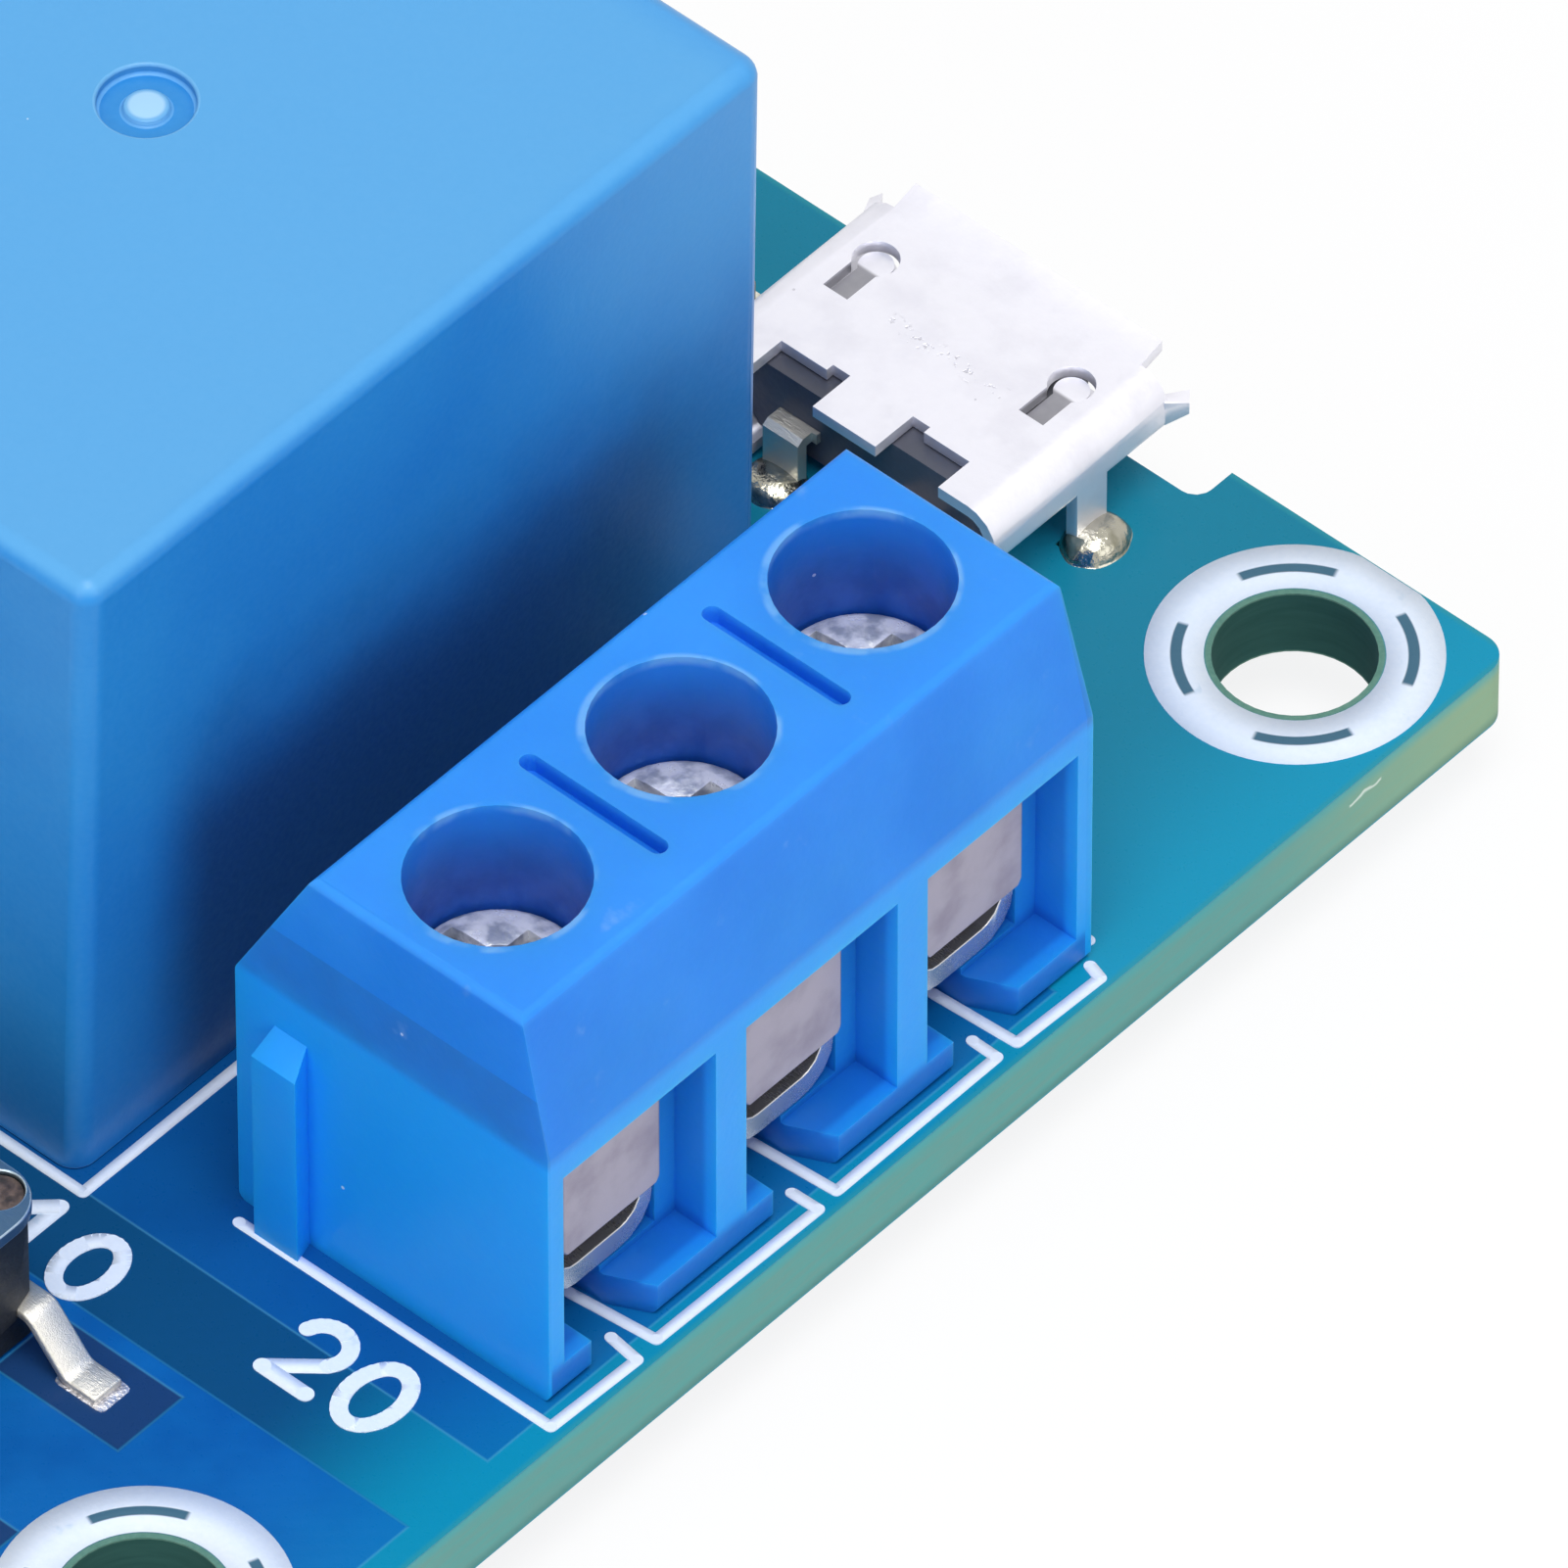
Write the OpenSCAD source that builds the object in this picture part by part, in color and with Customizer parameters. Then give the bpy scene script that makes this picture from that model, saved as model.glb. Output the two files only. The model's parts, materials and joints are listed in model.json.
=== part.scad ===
/* [Circuit board] */
// Length of the board, along X
board_l = 62.5; // [60:0.5:72]
// Width of the board, along Y
board_w = 38; // [37:0.5:46]
// Thickness of the board
board_t = 1.6; // [1:0.2:2.4]
// Radius of the board's corners
corner_r = 0.6; // [0.4:0.1:2]
// Diameter of the four fixing holes
hole_d = 3.2; // [2.2:0.1:3.6]
// From each fixing hole's centre to the board's end edge
hole_from_end = 3.05; // [2.7:0.05:3.4]
// From each fixing hole's centre to the board's side edge
hole_from_side = 2.8; // [2.5:0.05:3.2]
// Width of the recess in the edge round the power socket's mouth
notch_w = 9.4; // [8.6:0.1:11]
// Depth of that recess
notch_d = 1; // [0.5:0.1:1.5]
// Radius in the recess's inner corners
notch_r = 0.4; // [0.2:0.1:0.5]
// How far every soldered pin reaches below the board
pin_reach = 1.6; // [0.8:0.1:2.5]
// Clearance between a pin and its drilled hole
pin_fit = 0.15; // [0.05:0.05:0.25]
// Radius of a solder joint on the underside
joint_r = 1; // [0.9:0.05:1.2]
// Height of a solder joint
joint_h = 0.9; // [0.4:0.1:1.2]

/* [Relay] */
// Length of the relay at its foot, along Y
relay_l = 19.2; // [18.6:0.1:20.4]
// Width of the relay at its foot, along X
relay_w = 15.4; // [15:0.1:16.2]
// Height of the relay over the board
relay_h = 15.6; // [15.2:0.1:18]
// How much each side leans in by at the top
relay_draft = 0.2; // [0:0.05:0.3]
// Rounding of the cover's edges
relay_edge = 0.5; // [0.3:0.05:0.8]
// Wall of the cover
cover_t = 0.7; // [0.5:0.05:0.9]
// Gap between the relay and the output terminal's back
relay_gap = 2.4; // [1.5:0.1:3]
// Offset of the relay from the board's middle, along Y
relay_y = 0.45; // [-1:0.05:1]
// Height of the relay's base plate
base_h = 2.2; // [1.6:0.1:2.8]
// Diameter of the vent dimple in the cover's top
vent_d = 1.9; // [1.4:0.1:2.6]
// Depth of the vent dimple
vent_depth = 0.25; // [0.15:0.05:0.4]
// Diameter of the nib in the dimple
nib_d = 0.9; // [0.5:0.1:1.1]
// From the case's long sides to the coil pins and the switched pins
pin_from_side = 1.7; // [1.6:0.1:2]
// From the case's one end to the common pin
common_from_end = 2.3; // [2.1:0.1:2.6]
// From the case's other end to the switched pins
switched_from_end = 2.7; // [2.5:0.1:3]
// From the common pin's row to the coil pins' row, along Y
coil_pin_row = 2; // [1.8:0.1:2.2]
// Diameter of the coil's iron core
core_d = 3.4; // [3:0.1:3.8]
// Diameter of the core's pole face
pole_d = 6; // [5:0.1:6.4]
// Outer diameter of the winding
coil_d = 9.4; // [8:0.1:9.8]
// Thickness of the yoke and the armature
iron_t = 1.1; // [0.9:0.05:1.2]
// Width of the yoke, along X
yoke_w = 9; // [8:0.1:9.6]
// Air gap between the armature and the pole face
air_gap = 0.45; // [0.3:0.05:0.6]
// Thickness of the contact blade
blade_t = 0.2; // [0.15:0.05:0.3]
// Width of the contact blade
blade_w = 4; // [3:0.1:5]
// Diameter of the contact rivets
rivet_d = 2; // [1.6:0.1:2.4]
// Thickness of a contact rivet's head
rivet_h = 0.3; // [0.2:0.05:0.35]
// Thickness of the fixed contact strips and pins
strip_t = 0.4; // [0.3:0.05:0.5]

/* [Screw terminals] */
// Distance between neighbouring poles
pitch = 5.08; // [5:0.01:5.4]
// From the terminal's front face to the board's edge
term_inset = 0.75; // [0:0.05:1]
// Offset of the output terminal from the board's middle, along Y
output_y = 0.1; // [-0.5:0.05:0.5]
// Offset of the input terminal from the board's middle, along Y
input_y = 0; // [-0.5:0.05:0.5]
// Depth of a housing, front to back
term_d = 7.84; // [7.6:0.02:8.2]
// Height of a housing
term_h = 9.88; // [9.6:0.02:11]
// Height at which the back starts to lean in
back_knee = 6.36; // [5.5:0.02:7]
// How far the back leans in at the top
back_lean = 1.84; // [1:0.02:2.1]
// Height at which the front starts to lean in
front_knee = 6.66; // [6.5:0.02:7.5]
// How far the front leans in at the top
front_lean = 0.76; // [0.4:0.02:0.8]
// How far each end leans in at the top
end_lean = 0.15; // [0.05:0.05:0.4]
// Rounding of a housing's edges
term_edge = 0.2; // [0.1:0.05:0.3]
// Front face to the screws' axes
screw_set = 3.52; // [3.4:0.02:3.6]
// Diameter of the screw wells in the top
well_d = 3.58; // [3.5:0.02:3.7]
// Width of a wire entry
entry_w = 4.24; // [4:0.02:4.4]
// Height of the top edge of a wire entry
entry_top = 5.88; // [5.6:0.02:6]
// Thickness of the floor lips under the entries
lip_t = 0.8; // [0.5:0.05:1]
// Width of the gap between two lips
lip_gap = 1.85; // [1.4:0.05:2.1]
// How far that gap lies from its pole's middle
lip_shift = 0.45; // [0:0.05:0.5]
// Length of the gap, in from the front
lip_gap_l = 1.9; // [1:0.1:2.2]
// Width of the grooves between the wells
groove_w = 0.4; // [0.3:0.05:0.6]
// Length of those grooves
groove_l = 3.6; // [3:0.1:4]
// Depth of those grooves
groove_depth = 0.45; // [0.3:0.05:0.6]
// Width of the coupling ridge on one end at its root
ridge_w = 0.8; // [0.6:0.05:1]
// How far the coupling ridge stands out
ridge_out = 0.5; // [0.3:0.05:0.6]
// Height of the coupling ridge
ridge_h = 5.5; // [4:0.1:6]

/* [Clamps] */
// Outer width of a clamp frame
frame_w = 3; // [2.8:0.05:3.3]
// Depth of a clamp frame, front to back
frame_d = 4.6; // [4.4:0.05:4.7]
// Sheet thickness of a clamp frame
frame_t = 0.35; // [0.3:0.05:0.45]
// Height of a clamp frame's floor over the board
frame_z = 1; // [0.95:0.05:1.2]
// Height of a clamp frame's top over the board
frame_top = 6.1; // [6:0.05:6.2]
// Thickness of the frame's floor
frame_floor = 0.55; // [0.35:0.05:0.6]
// Thickness of the tapped top plate
tap_t = 0.7; // [0.5:0.05:0.8]
// Radius of the frame's lower corners
frame_r = 0.9; // [0.6:0.05:1]
// From the front face to the wire guard
guard_set = 0.7; // [0.6:0.05:0.8]
// Sheet thickness of a wire guard
guard_t = 0.3; // [0.2:0.05:0.35]
// Width of a wire guard
guard_w = 2.7; // [2.5:0.05:2.8]
// Height of a wire guard's lower edge at rest
guard_z = 2.5; // [2.3:0.05:2.8]
// Height of a wire guard's upper edge at rest
guard_top = 5.95; // [5.9:0.05:6]
// Travel of a guard and its screw
clamp_travel = 1.6; // [1.2:0.1:1.6]
// Clearance between a clamp screw's shank and the frame's sides
shank_room = 0.1; // [0.06:0.02:0.2]
// Clearance between a screw's head and its well
head_fit = 0.09; // [0.06:0.01:0.15]
// Height of a clamp screw's head at its rim
head_h = 0.8; // [0.6:0.05:1]
// Width of the driver slot
slot_w = 0.5; // [0.4:0.05:0.7]
// Depth of the driver slot
slot_depth = 0.6; // [0.4:0.05:0.7]
// Side of a clamp's solder pin
term_pin = 0.9; // [0.8:0.05:1]
// Running clearance between clamp pieces
clamp_fit = 0.05; // [0.03:0.01:0.08]

/* [Power socket] */
// Width of the metal shell
socket_w = 7.7; // [7.4:0.05:8]
// Length of the shell behind its flared mouth
socket_l = 5; // [4.8:0.05:5.4]
// Height of the shell's top over the board
socket_h = 2.6; // [2.55:0.05:3]
// Thickness of the shell
socket_t = 0.28; // [0.25:0.01:0.32]
// Rounding of the shell's upper corners
socket_r = 0.7; // [0.5:0.05:0.9]
// Height of the shell's underside over the board
socket_lift = 0.15; // [0.1:0.05:0.25]
// From the board's end edge to the socket's middle
socket_from_end = 11.8; // [11.5:0.05:12.5]
// Length of the flared mouth
socket_mouth = 0.6; // [0.4:0.05:0.7]
// How far the mouth stays behind the board's side edge
socket_edge = 0.3; // [0:0.05:0.5]
// Between the two latch windows
window_span = 5; // [4.8:0.1:5.2]
// Width of a latch window
window_w = 0.95; // [0.8:0.05:1.1]
// Length of a latch window
window_l = 1.65; // [1.4:0.05:1.8]
// Width of the shell's middle tongue at the back
tongue_w = 1.6; // [1.4:0.1:1.9]
// Width of a notch beside that tongue
rear_notch_w = 1.6; // [1.3:0.1:1.7]
// Depth of those notches
rear_notch_l = 0.9; // [0.7:0.1:1.1]
// Width of a shell leg
leg_w = 0.85; // [0.7:0.05:1]
// Between the middles of the two soldered tails
tail_span = 3.26; // [3:0.02:3.6]
// Width of a soldered tail
tail_w = 0.9; // [0.7:0.05:1]

/* [Keys] */
// Side of a key's metal cover
key_w = 6; // [5.8:0.1:6.2]
// Height of a key's metal cover over the board
key_h = 3.5; // [3.4:0.1:4]
// Tip to tip over a key's leads
key_span = 10; // [9:0.1:10.2]
// Gap between the leads of neighbouring keys
key_gap = 1.4; // [1.2:0.1:2.4]
// From the board's end edge to the first key's middle
key_from_end = 12; // [11.7:0.05:12.5]
// From the board's side edge to the keys' middles
key_from_side = 3.9; // [3.7:0.05:4.4]
// Diameter of a key's button
button_d = 3.5; // [3:0.1:3.6]
// Height of a button's top over the board
button_h = 5; // [4.6:0.1:7]
// Travel of a button
button_travel = 0.25; // [0.15:0.05:0.3]
// Between the two leads on one side of a key
key_lead_span = 4.5; // [4.3:0.1:4.7]
// Width of a key's lead
key_lead_w = 0.75; // [0.6:0.05:0.9]
// Diameter of the studs that hold a key's cover
stud_d = 0.95; // [0.8:0.05:1.1]

/* [Display] */
// Width of the display, along Y
display_w = 14; // [12:0.5:15]
// Height of the display over the board
display_h = 7.2; // [5:0.1:9]
// Gap between the display and what stands at each end of it
display_gap = 2.5; // [1.8:0.1:3]
// Share of the free width that lies between the display and the keys
display_share = 0.2; // [0.15:0.01:0.3]
// Height of a digit
digit_h = 9.2; // [7:0.1:9.6]
// Gap between two digits
digit_gap = 2.4; // [2:0.1:3]
// Width of a segment
segment_w = 0.9; // [0.7:0.05:1.1]

/* [Chips] */
// Length of the controller chip's body
chip_l = 6.5; // [6:0.1:7]
// Width of the controller chip's body
chip_w = 4.4; // [4:0.1:4.6]
// Height of the controller chip's body
chip_h = 1; // [0.8:0.1:1.5]
// Tip to tip over the controller chip's leads
chip_span = 6.4; // [6.2:0.1:6.8]
// Spacing of the controller chip's leads
chip_pitch = 0.65; // [0.6:0.01:0.68]
// Length of the optocoupler's body
opto_l = 3.6; // [3.4:0.1:4.2]
// Width of the optocoupler's body
opto_w = 4.4; // [4:0.1:4.8]
// Height of the optocoupler's body
opto_h = 2; // [1.8:0.1:2.4]
// Tip to tip over the optocoupler's leads
opto_span = 7; // [6.6:0.1:7.2]
// Length of the diode's body
diode_l = 4.3; // [3.8:0.1:4.5]
// Width of the diode's body
diode_w = 2.6; // [2:0.1:2.8]
// Height of the diode's body
diode_h = 2.1; // [1.8:0.1:2.3]
// Length of the transistor's body
transistor_l = 2.9; // [2.6:0.1:3.1]
// Width of the transistor's body
transistor_w = 1.3; // [1.2:0.1:1.5]
// Height of the transistor's body
transistor_h = 1; // [0.8:0.1:1.2]
// Length of the regulator's body
regulator_l = 4.5; // [4.2:0.1:4.7]
// Width of the regulator's body
regulator_w = 2.5; // [2.3:0.1:2.6]
// Height of the regulator's body
regulator_h = 1.5; // [1.3:0.1:1.6]
// Length of a chip resistor
resistor_l = 1.6; // [1.4:0.1:1.8]
// Width of a chip resistor
resistor_w = 0.8; // [0.7:0.05:0.9]
// Height of a chip resistor
resistor_h = 0.45; // [0.35:0.05:0.5]
// Length of a chip capacitor or an indicator LED
capacitor_l = 2; // [1.8:0.1:2.2]
// Width of a chip capacitor or an indicator LED
capacitor_w = 1.25; // [1.1:0.05:1.3]
// Height of a chip capacitor
capacitor_h = 0.9; // [0.7:0.05:1.1]
// Height of an indicator LED
led_h = 0.8; // [0.7:0.05:1]

/* [Hidden] */
$fn = 48;
hull_fn = 24;
eps = 0.01;
poles = 3;
keys = 4;
digits = 3;

blue = "#2e8be8";
relay_blue = "#3f97e0";
zinc = "#c9c9d2";
black = "#22242c";

// Places on the board
top = board_t;
side = board_w / 2;
hole_x = board_l / 2 - hole_from_end;
hole_y = side - hole_from_side;
term_x = board_l / 2 - term_inset - screw_set;
term_l = poles * pitch;
term_front = screw_set;
term_back = screw_set - term_d;
relay_x = term_x + term_back - relay_gap - relay_w / 2;
relay_back = relay_x - relay_w / 2;
input_back = -term_x - term_back;
display_l = relay_back - input_back - 2 * display_gap;
display_x = (relay_back + input_back) / 2;
socket_x = board_l / 2 - socket_from_end;
key_y = -side + key_from_side;
display_room = side - key_y - key_w / 2 - display_w;
display_y = key_y + key_w / 2 + display_share * display_room + display_w / 2;
function key_x(i) = board_l / 2 - key_from_end - i * (key_span + key_gap);
function pole_y(k) = (k - (poles - 1) / 2) * pitch;

// Places inside a clamp, from the screw's axis
guard_x = term_front - guard_set - guard_t;
frame_front = guard_x - clamp_fit;
frame_back = frame_front - frame_d;
clamp_pin_x = -0.8;
coupling_x = -2.93;
coupling_fit = 0.1;
groove_x = 0.1;
shank_d = frame_w - 2 * (frame_t + shank_room);
head_d = well_d - 2 * head_fit;
foot_z = guard_z + 0.2;
foot_t = 0.4;
head_z = frame_top + 0.25;
head_rise = 0.25;

// Places in the relay, from the middle of its foot
vent_x = -0.15;
vent_y = 0.95;
pin_side_x = relay_w / 2 - pin_from_side;
com_y = -relay_l / 2 + common_from_end;
switched_y = relay_l / 2 - switched_from_end;
coil_pin_y = com_y + coil_pin_row;
hinge_y = com_y + strip_t / 2;
flange = coil_d + 0.6;
core_y = hinge_y + iron_t + 0.2 + flange / 2;
pin_w = 0.9;
strip_w = 2.4;
seat = 0.04;
lift = 0.03;
contact_gap = 0.1;
armature_tilt = asin(air_gap / (core_y - hinge_y));
contact_rise = (switched_y - hinge_y) * tan(armature_tilt);
head_room = lift + iron_t + blade_t + contact_rise + 2 * rivet_h + contact_gap + strip_t + 0.6;
pole_z = relay_h - cover_t - head_room;
pole_t = 0.5;
flange_t = 0.7;
relay_room = [
    relay_w - 2 * (relay_draft + cover_t),
    relay_l - 2 * (relay_draft + cover_t)];
nc_z = relay_h - cover_t - 0.6 - strip_t;
no_z = pole_z + lift + iron_t - 2 * rivet_h - contact_gap - strip_t;

// Places on the power socket, from the middle of its mouth at the board's edge
socket_front = -socket_edge;
socket_lip = socket_front - socket_mouth;
socket_back = socket_lip - socket_l;
socket_knee = 1.5;
socket_foot = 5.5;
window_y = socket_lip - 0.8 - window_l;
leg_y = socket_back + 2.8;
leg_x = socket_w / 2 - socket_t / 2;
contact_z = 1.05;
contact_t = 0.25;
blob_y = socket_back - 0.05;

// Places in a key
plate_t = 0.3;
well_floor = 0.8;
dome_h = button_travel + 0.2;
dome_t = 0.08;
collar_d = button_d + 0.6;
stud_x = key_w / 2 - 0.85;
stud_y = key_w / 2 - 0.6;
lead_t = 0.2;
lead_z = 1.05;
stand_off = 0.1;

// Places on the display
segment_t = 0.5;
segment_fit = 0.03;
digit_lean = 8;
digit_pitch = display_l / digits - 0.1;
digit_w = digit_pitch - digit_gap;
display_pin_row = 10.16;
display_pin_pitch = 2.54;
display_pin_d = 0.5;

// Small parts, in the strip between the display and the far edge
row_low = display_y + display_w / 2;
edge_row = side - 2.1;
chip_row = (row_low + edge_row - resistor_l / 2) / 2;
opto_x = input_back + opto_l / 2 + 1;
diode_x = relay_back - diode_l / 2 - 1.4;
regulator_clear = 10.3;
regulator_x = socket_x - regulator_clear;
chip_at = [display_x, chip_row];
opto_at = [opto_x, chip_row];
diode_at = [diode_x, chip_row - 2];
transistor_at = [diode_x + 0.4, chip_row + 1.6];
regulator_at = [regulator_x, side - 3.9];
near_opto = (opto_x + opto_l / 2 + display_x - chip_l / 2) / 2;
near_diode = (diode_x - diode_l / 2 + display_x + chip_l / 2) / 2;
resistor_step = 3 * resistor_w;
resistors_at = concat(
    [for (i = [-2 : 2]) [display_x + resistor_step * i, edge_row]],
    [for (s = [-1, 1]) [near_opto, chip_row + s * resistor_l]],
    [[near_diode, chip_row + resistor_l]]);
capacitors_at = [
    [regulator_x - regulator_l / 2 - 2 * capacitor_w, side - 3.9],
    [regulator_x + regulator_l / 2 + 2 * capacitor_w, side - 3.9],
    [near_diode, chip_row - capacitor_l],
    [opto_x, edge_row]];
led_from = resistors_at[4][0] + resistor_w / 2;
led_room = capacitors_at[0][0] - capacitor_w / 2 - led_from;
leds_at = [for (k = [1, 3]) [led_from + led_room * k / 4, edge_row]];

// Pins that pass through the board: place and the radius that clears them
clamp_pins = [for (k = [0 : poles - 1]) [clamp_pin_x, pole_y(k)]];
relay_pins = [
    [0, com_y],
    [-pin_side_x, coil_pin_y],
    [pin_side_x, coil_pin_y],
    [-pin_side_x, switched_y],
    [pin_side_x, switched_y]];
display_pins_at = [
    for (y = [-1, 1], i = [-2.5 : 2.5])
        [display_x + i * display_pin_pitch, display_y + y * display_pin_row / 2]];
function around(w, d) = norm([w, d]) / 2;
drilled = concat(
    [for (p = clamp_pins) [term_x + p[0], output_y + p[1], around(term_pin, term_pin)]],
    [for (p = clamp_pins) [-term_x - p[0], input_y - p[1], around(term_pin, term_pin)]],
    [for (p = relay_pins) [relay_x + p[0], relay_y + p[1], around(strip_t, pin_w)]],
    [for (p = display_pins_at) [p[0], p[1], display_pin_d / 2]]);

// Outlines and sweeps
function unit(v) = v / norm(v);
function flat(p) = [p[0], p[1]];

// An outline whose corners are [x, y, radius], each rounded in short steps
function rounded_outline(p, steps = 4) = [
    for (i = [0 : len(p) - 1])
        let (
            corner = flat(p[i]),
            u = unit(flat(p[(i + len(p) - 1) % len(p)]) - corner),
            v = unit(flat(p[(i + 1) % len(p)]) - corner),
            half = acos(u * v) / 2,
            r = p[i][2],
            centre = corner + unit(u + v) * r / sin(half),
            first = corner + u * r / tan(half) - centre,
            last = corner + v * r / tan(half) - centre
        )
        for (s = [0 : r > 0 ? steps : 0])
            r > 0 ? centre + r * unit(first + (last - first) * s / steps) : corner
];

// A rectangle with round corners
module rounded(l, w, r) {
    square([l - 2 * r, w], center = true);
    square([l, w - 2 * r], center = true);
    for (x = [-1, 1], y = [-1, 1])
        translate([x * (l / 2 - r), y * (w / 2 - r)])
            circle(r);
}

// A slot with round ends, along Y
module stadium(w, l) {
    square([w, l - w], center = true);
    for (y = [-1, 1])
        translate([0, y * (l - w) / 2])
            circle(d = w);
}

// Sweeps an outline of X and Z along Y
module along_y(l) {
    rotate([90, 0, 0])
        linear_extrude(l, center = true)
            children();
}

// Sweeps an outline of Y and Z along X
module along_x(l) {
    rotate([90, 0, 90])
        linear_extrude(l, center = true)
            children();
}

// A pin or post of rectangular section from one height to another
module post(w, d, low, high) {
    translate([-w / 2, -d / 2, low])
        cube([w, d, high - low]);
}

module circuit_board() {
    color("#17658c")
        difference() {
            linear_extrude(board_t)
                rounded(board_l, board_w, corner_r);
            translate([socket_x, side, -eps])
                linear_extrude(board_t + 2 * eps)
                    polygon(rounded_outline([
                        [-notch_w / 2, 1, 0],
                        [-notch_w / 2, -notch_d, notch_r],
                        [notch_w / 2, -notch_d, notch_r],
                        [notch_w / 2, 1, 0]]));
            for (x = [-hole_x, hole_x], y = [-hole_y, hole_y])
                translate([x, y, -eps])
                    cylinder(d = hole_d, h = board_t + 2 * eps);
            for (p = drilled)
                translate([p[0], p[1], -eps])
                    cylinder(r = p[2] + pin_fit, h = board_t + 2 * eps);
            for (s = [-1, 1])
                translate([socket_x + s * leg_x, side + leg_y, 0])
                    post(socket_t + 2 * pin_fit, leg_w + 2 * pin_fit, -eps, board_t + eps);
        }
}

// Relay
module at_relay() {
    translate([relay_x, relay_y, top])
        children();
}

module relay_cover() {
    outer = [relay_w / 2 - relay_edge, relay_l / 2 - relay_edge];
    color(relay_blue)
        at_relay()
            difference() {
                hull()
                    for (x = [-1, 1], y = [-1, 1]) {
                        translate([x * outer[0], y * outer[1], 0])
                            cylinder(r = relay_edge, h = 1, $fn = hull_fn);
                        translate([
                            x * (outer[0] - relay_draft),
                            y * (outer[1] - relay_draft),
                            relay_h - relay_edge])
                            sphere(relay_edge, $fn = hull_fn);
                    }
                post(relay_room[0], relay_room[1], -1, relay_h - cover_t);
                difference() {
                    translate([vent_x, vent_y, relay_h - vent_depth])
                        cylinder(d = vent_d, h = 1, $fn = hull_fn);
                    translate([vent_x, vent_y, 0])
                        cylinder(d = nib_d, h = relay_h - vent_depth / 2, $fn = hull_fn);
                }
            }
}

module relay_base() {
    room = 0.1;
    color(black)
        at_relay()
            difference() {
                translate([0, 0, 0.2])
                    linear_extrude(base_h - 0.2)
                        rounded(relay_room[0] - 2 * room, relay_room[1] - 2 * room, 0.4);
                for (p = relay_pins)
                    translate([p[0], p[1], 0])
                        post(
                            (p[0] == 0 ? pin_w : strip_t) + 2 * seat,
                            (p[0] == 0 ? strip_t : pin_w) + 2 * seat, 0, base_h + 1);
            }
}

module relay_yoke() {
    foot_end = core_y + core_d / 2 + 2;
    color("#b9bcc4")
        at_relay()
            difference() {
                along_x(yoke_w)
                    polygon([
                        [hinge_y, base_h],
                        [foot_end, base_h],
                        [foot_end, base_h + iron_t],
                        [hinge_y + iron_t, base_h + iron_t],
                        [hinge_y + iron_t, pole_z],
                        [hinge_y, pole_z]]);
                translate([0, core_y, 0])
                    cylinder(d = core_d + 2 * seat, h = pole_z);
            }
}

module relay_core() {
    color("#c9ccd2")
        at_relay()
            translate([0, core_y, 0]) {
                translate([0, 0, base_h])
                    cylinder(d = core_d, h = pole_z - pole_t - base_h + eps);
                translate([0, 0, pole_z - pole_t])
                    cylinder(d = pole_d, h = pole_t);
            }
}

module relay_bobbin() {
    low = base_h + iron_t;
    high = pole_z - pole_t - seat;
    color("#f0ead8")
        at_relay()
            translate([0, core_y, 0])
                difference() {
                    union() {
                        for (z = [low, high - flange_t])
                            translate([0, 0, z])
                                linear_extrude(flange_t)
                                    rounded(flange, flange, 0.8);
                        translate([0, 0, low])
                            cylinder(d = core_d + 1.2, h = high - low);
                    }
                    cylinder(d = core_d + 2 * seat, h = high + 1);
                }
}

module relay_coil() {
    low = base_h + iron_t + flange_t;
    high = pole_z - pole_t - seat - flange_t;
    color("#b5652c")
        at_relay()
            translate([0, core_y, low])
                difference() {
                    cylinder(d = coil_d, h = high - low);
                    translate([0, 0, -1])
                        cylinder(d = core_d + 1.2 + 2 * seat, h = high - low + 2);
                }
}

// Places what rides on the armature, drawn as it lies when pulled in
module on_armature() {
    at_relay()
        translate([0, hinge_y, pole_z + lift])
            rotate([armature_tilt, 0, 0])
                translate([0, -hinge_y, -pole_z])
                    children();
}

module relay_armature() {
    color("#c4c7cd")
        on_armature()
            along_x(yoke_w - 0.6)
                polygon([
                    [hinge_y, pole_z],
                    [core_y + pole_d / 2 + 0.6, pole_z],
                    [core_y + pole_d / 2 + 0.6, pole_z + iron_t * 0.7],
                    [core_y + pole_d / 2 + 0.2, pole_z + iron_t],
                    [hinge_y, pole_z + iron_t]]);
}

module relay_contact_blade() {
    low = pole_z + iron_t;
    rear = hinge_y + 3;
    color("#c98b4e")
        on_armature() {
            translate([0, (rear + switched_y + strip_w / 2) / 2, low])
                linear_extrude(blade_t)
                    rounded(blade_w, switched_y + strip_w / 2 - rear, 0.6);
            translate([0, switched_y, low - rivet_h])
                cylinder(d = rivet_d, h = blade_t + 2 * rivet_h);
            for (x = [-1, 1])
                translate([x * blade_w / 4, core_y - 0.6, low + blade_t - eps])
                    cylinder(d = 0.9, h = 0.25);
        }
}

module relay_hinge_spring() {
    leaf = 0.15;
    hook_z = pole_z + lift + iron_t + 0.3;
    clear = iron_t * sin(armature_tilt) + 0.1;
    color("#c98b4e")
        at_relay()
            along_x(3)
                polygon([
                    [hinge_y, pole_z / 2],
                    [hinge_y - leaf, pole_z / 2],
                    [hinge_y - leaf, pole_z - 1.6],
                    [hinge_y - leaf - clear, pole_z - 1.2],
                    [hinge_y - leaf - clear, hook_z + leaf],
                    [hinge_y + 1.6, hook_z + leaf],
                    [hinge_y + 1.6, hook_z],
                    [hinge_y - clear, hook_z],
                    [hinge_y - clear, pole_z - 1.1],
                    [hinge_y, pole_z - 1.5]]);
}

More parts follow.
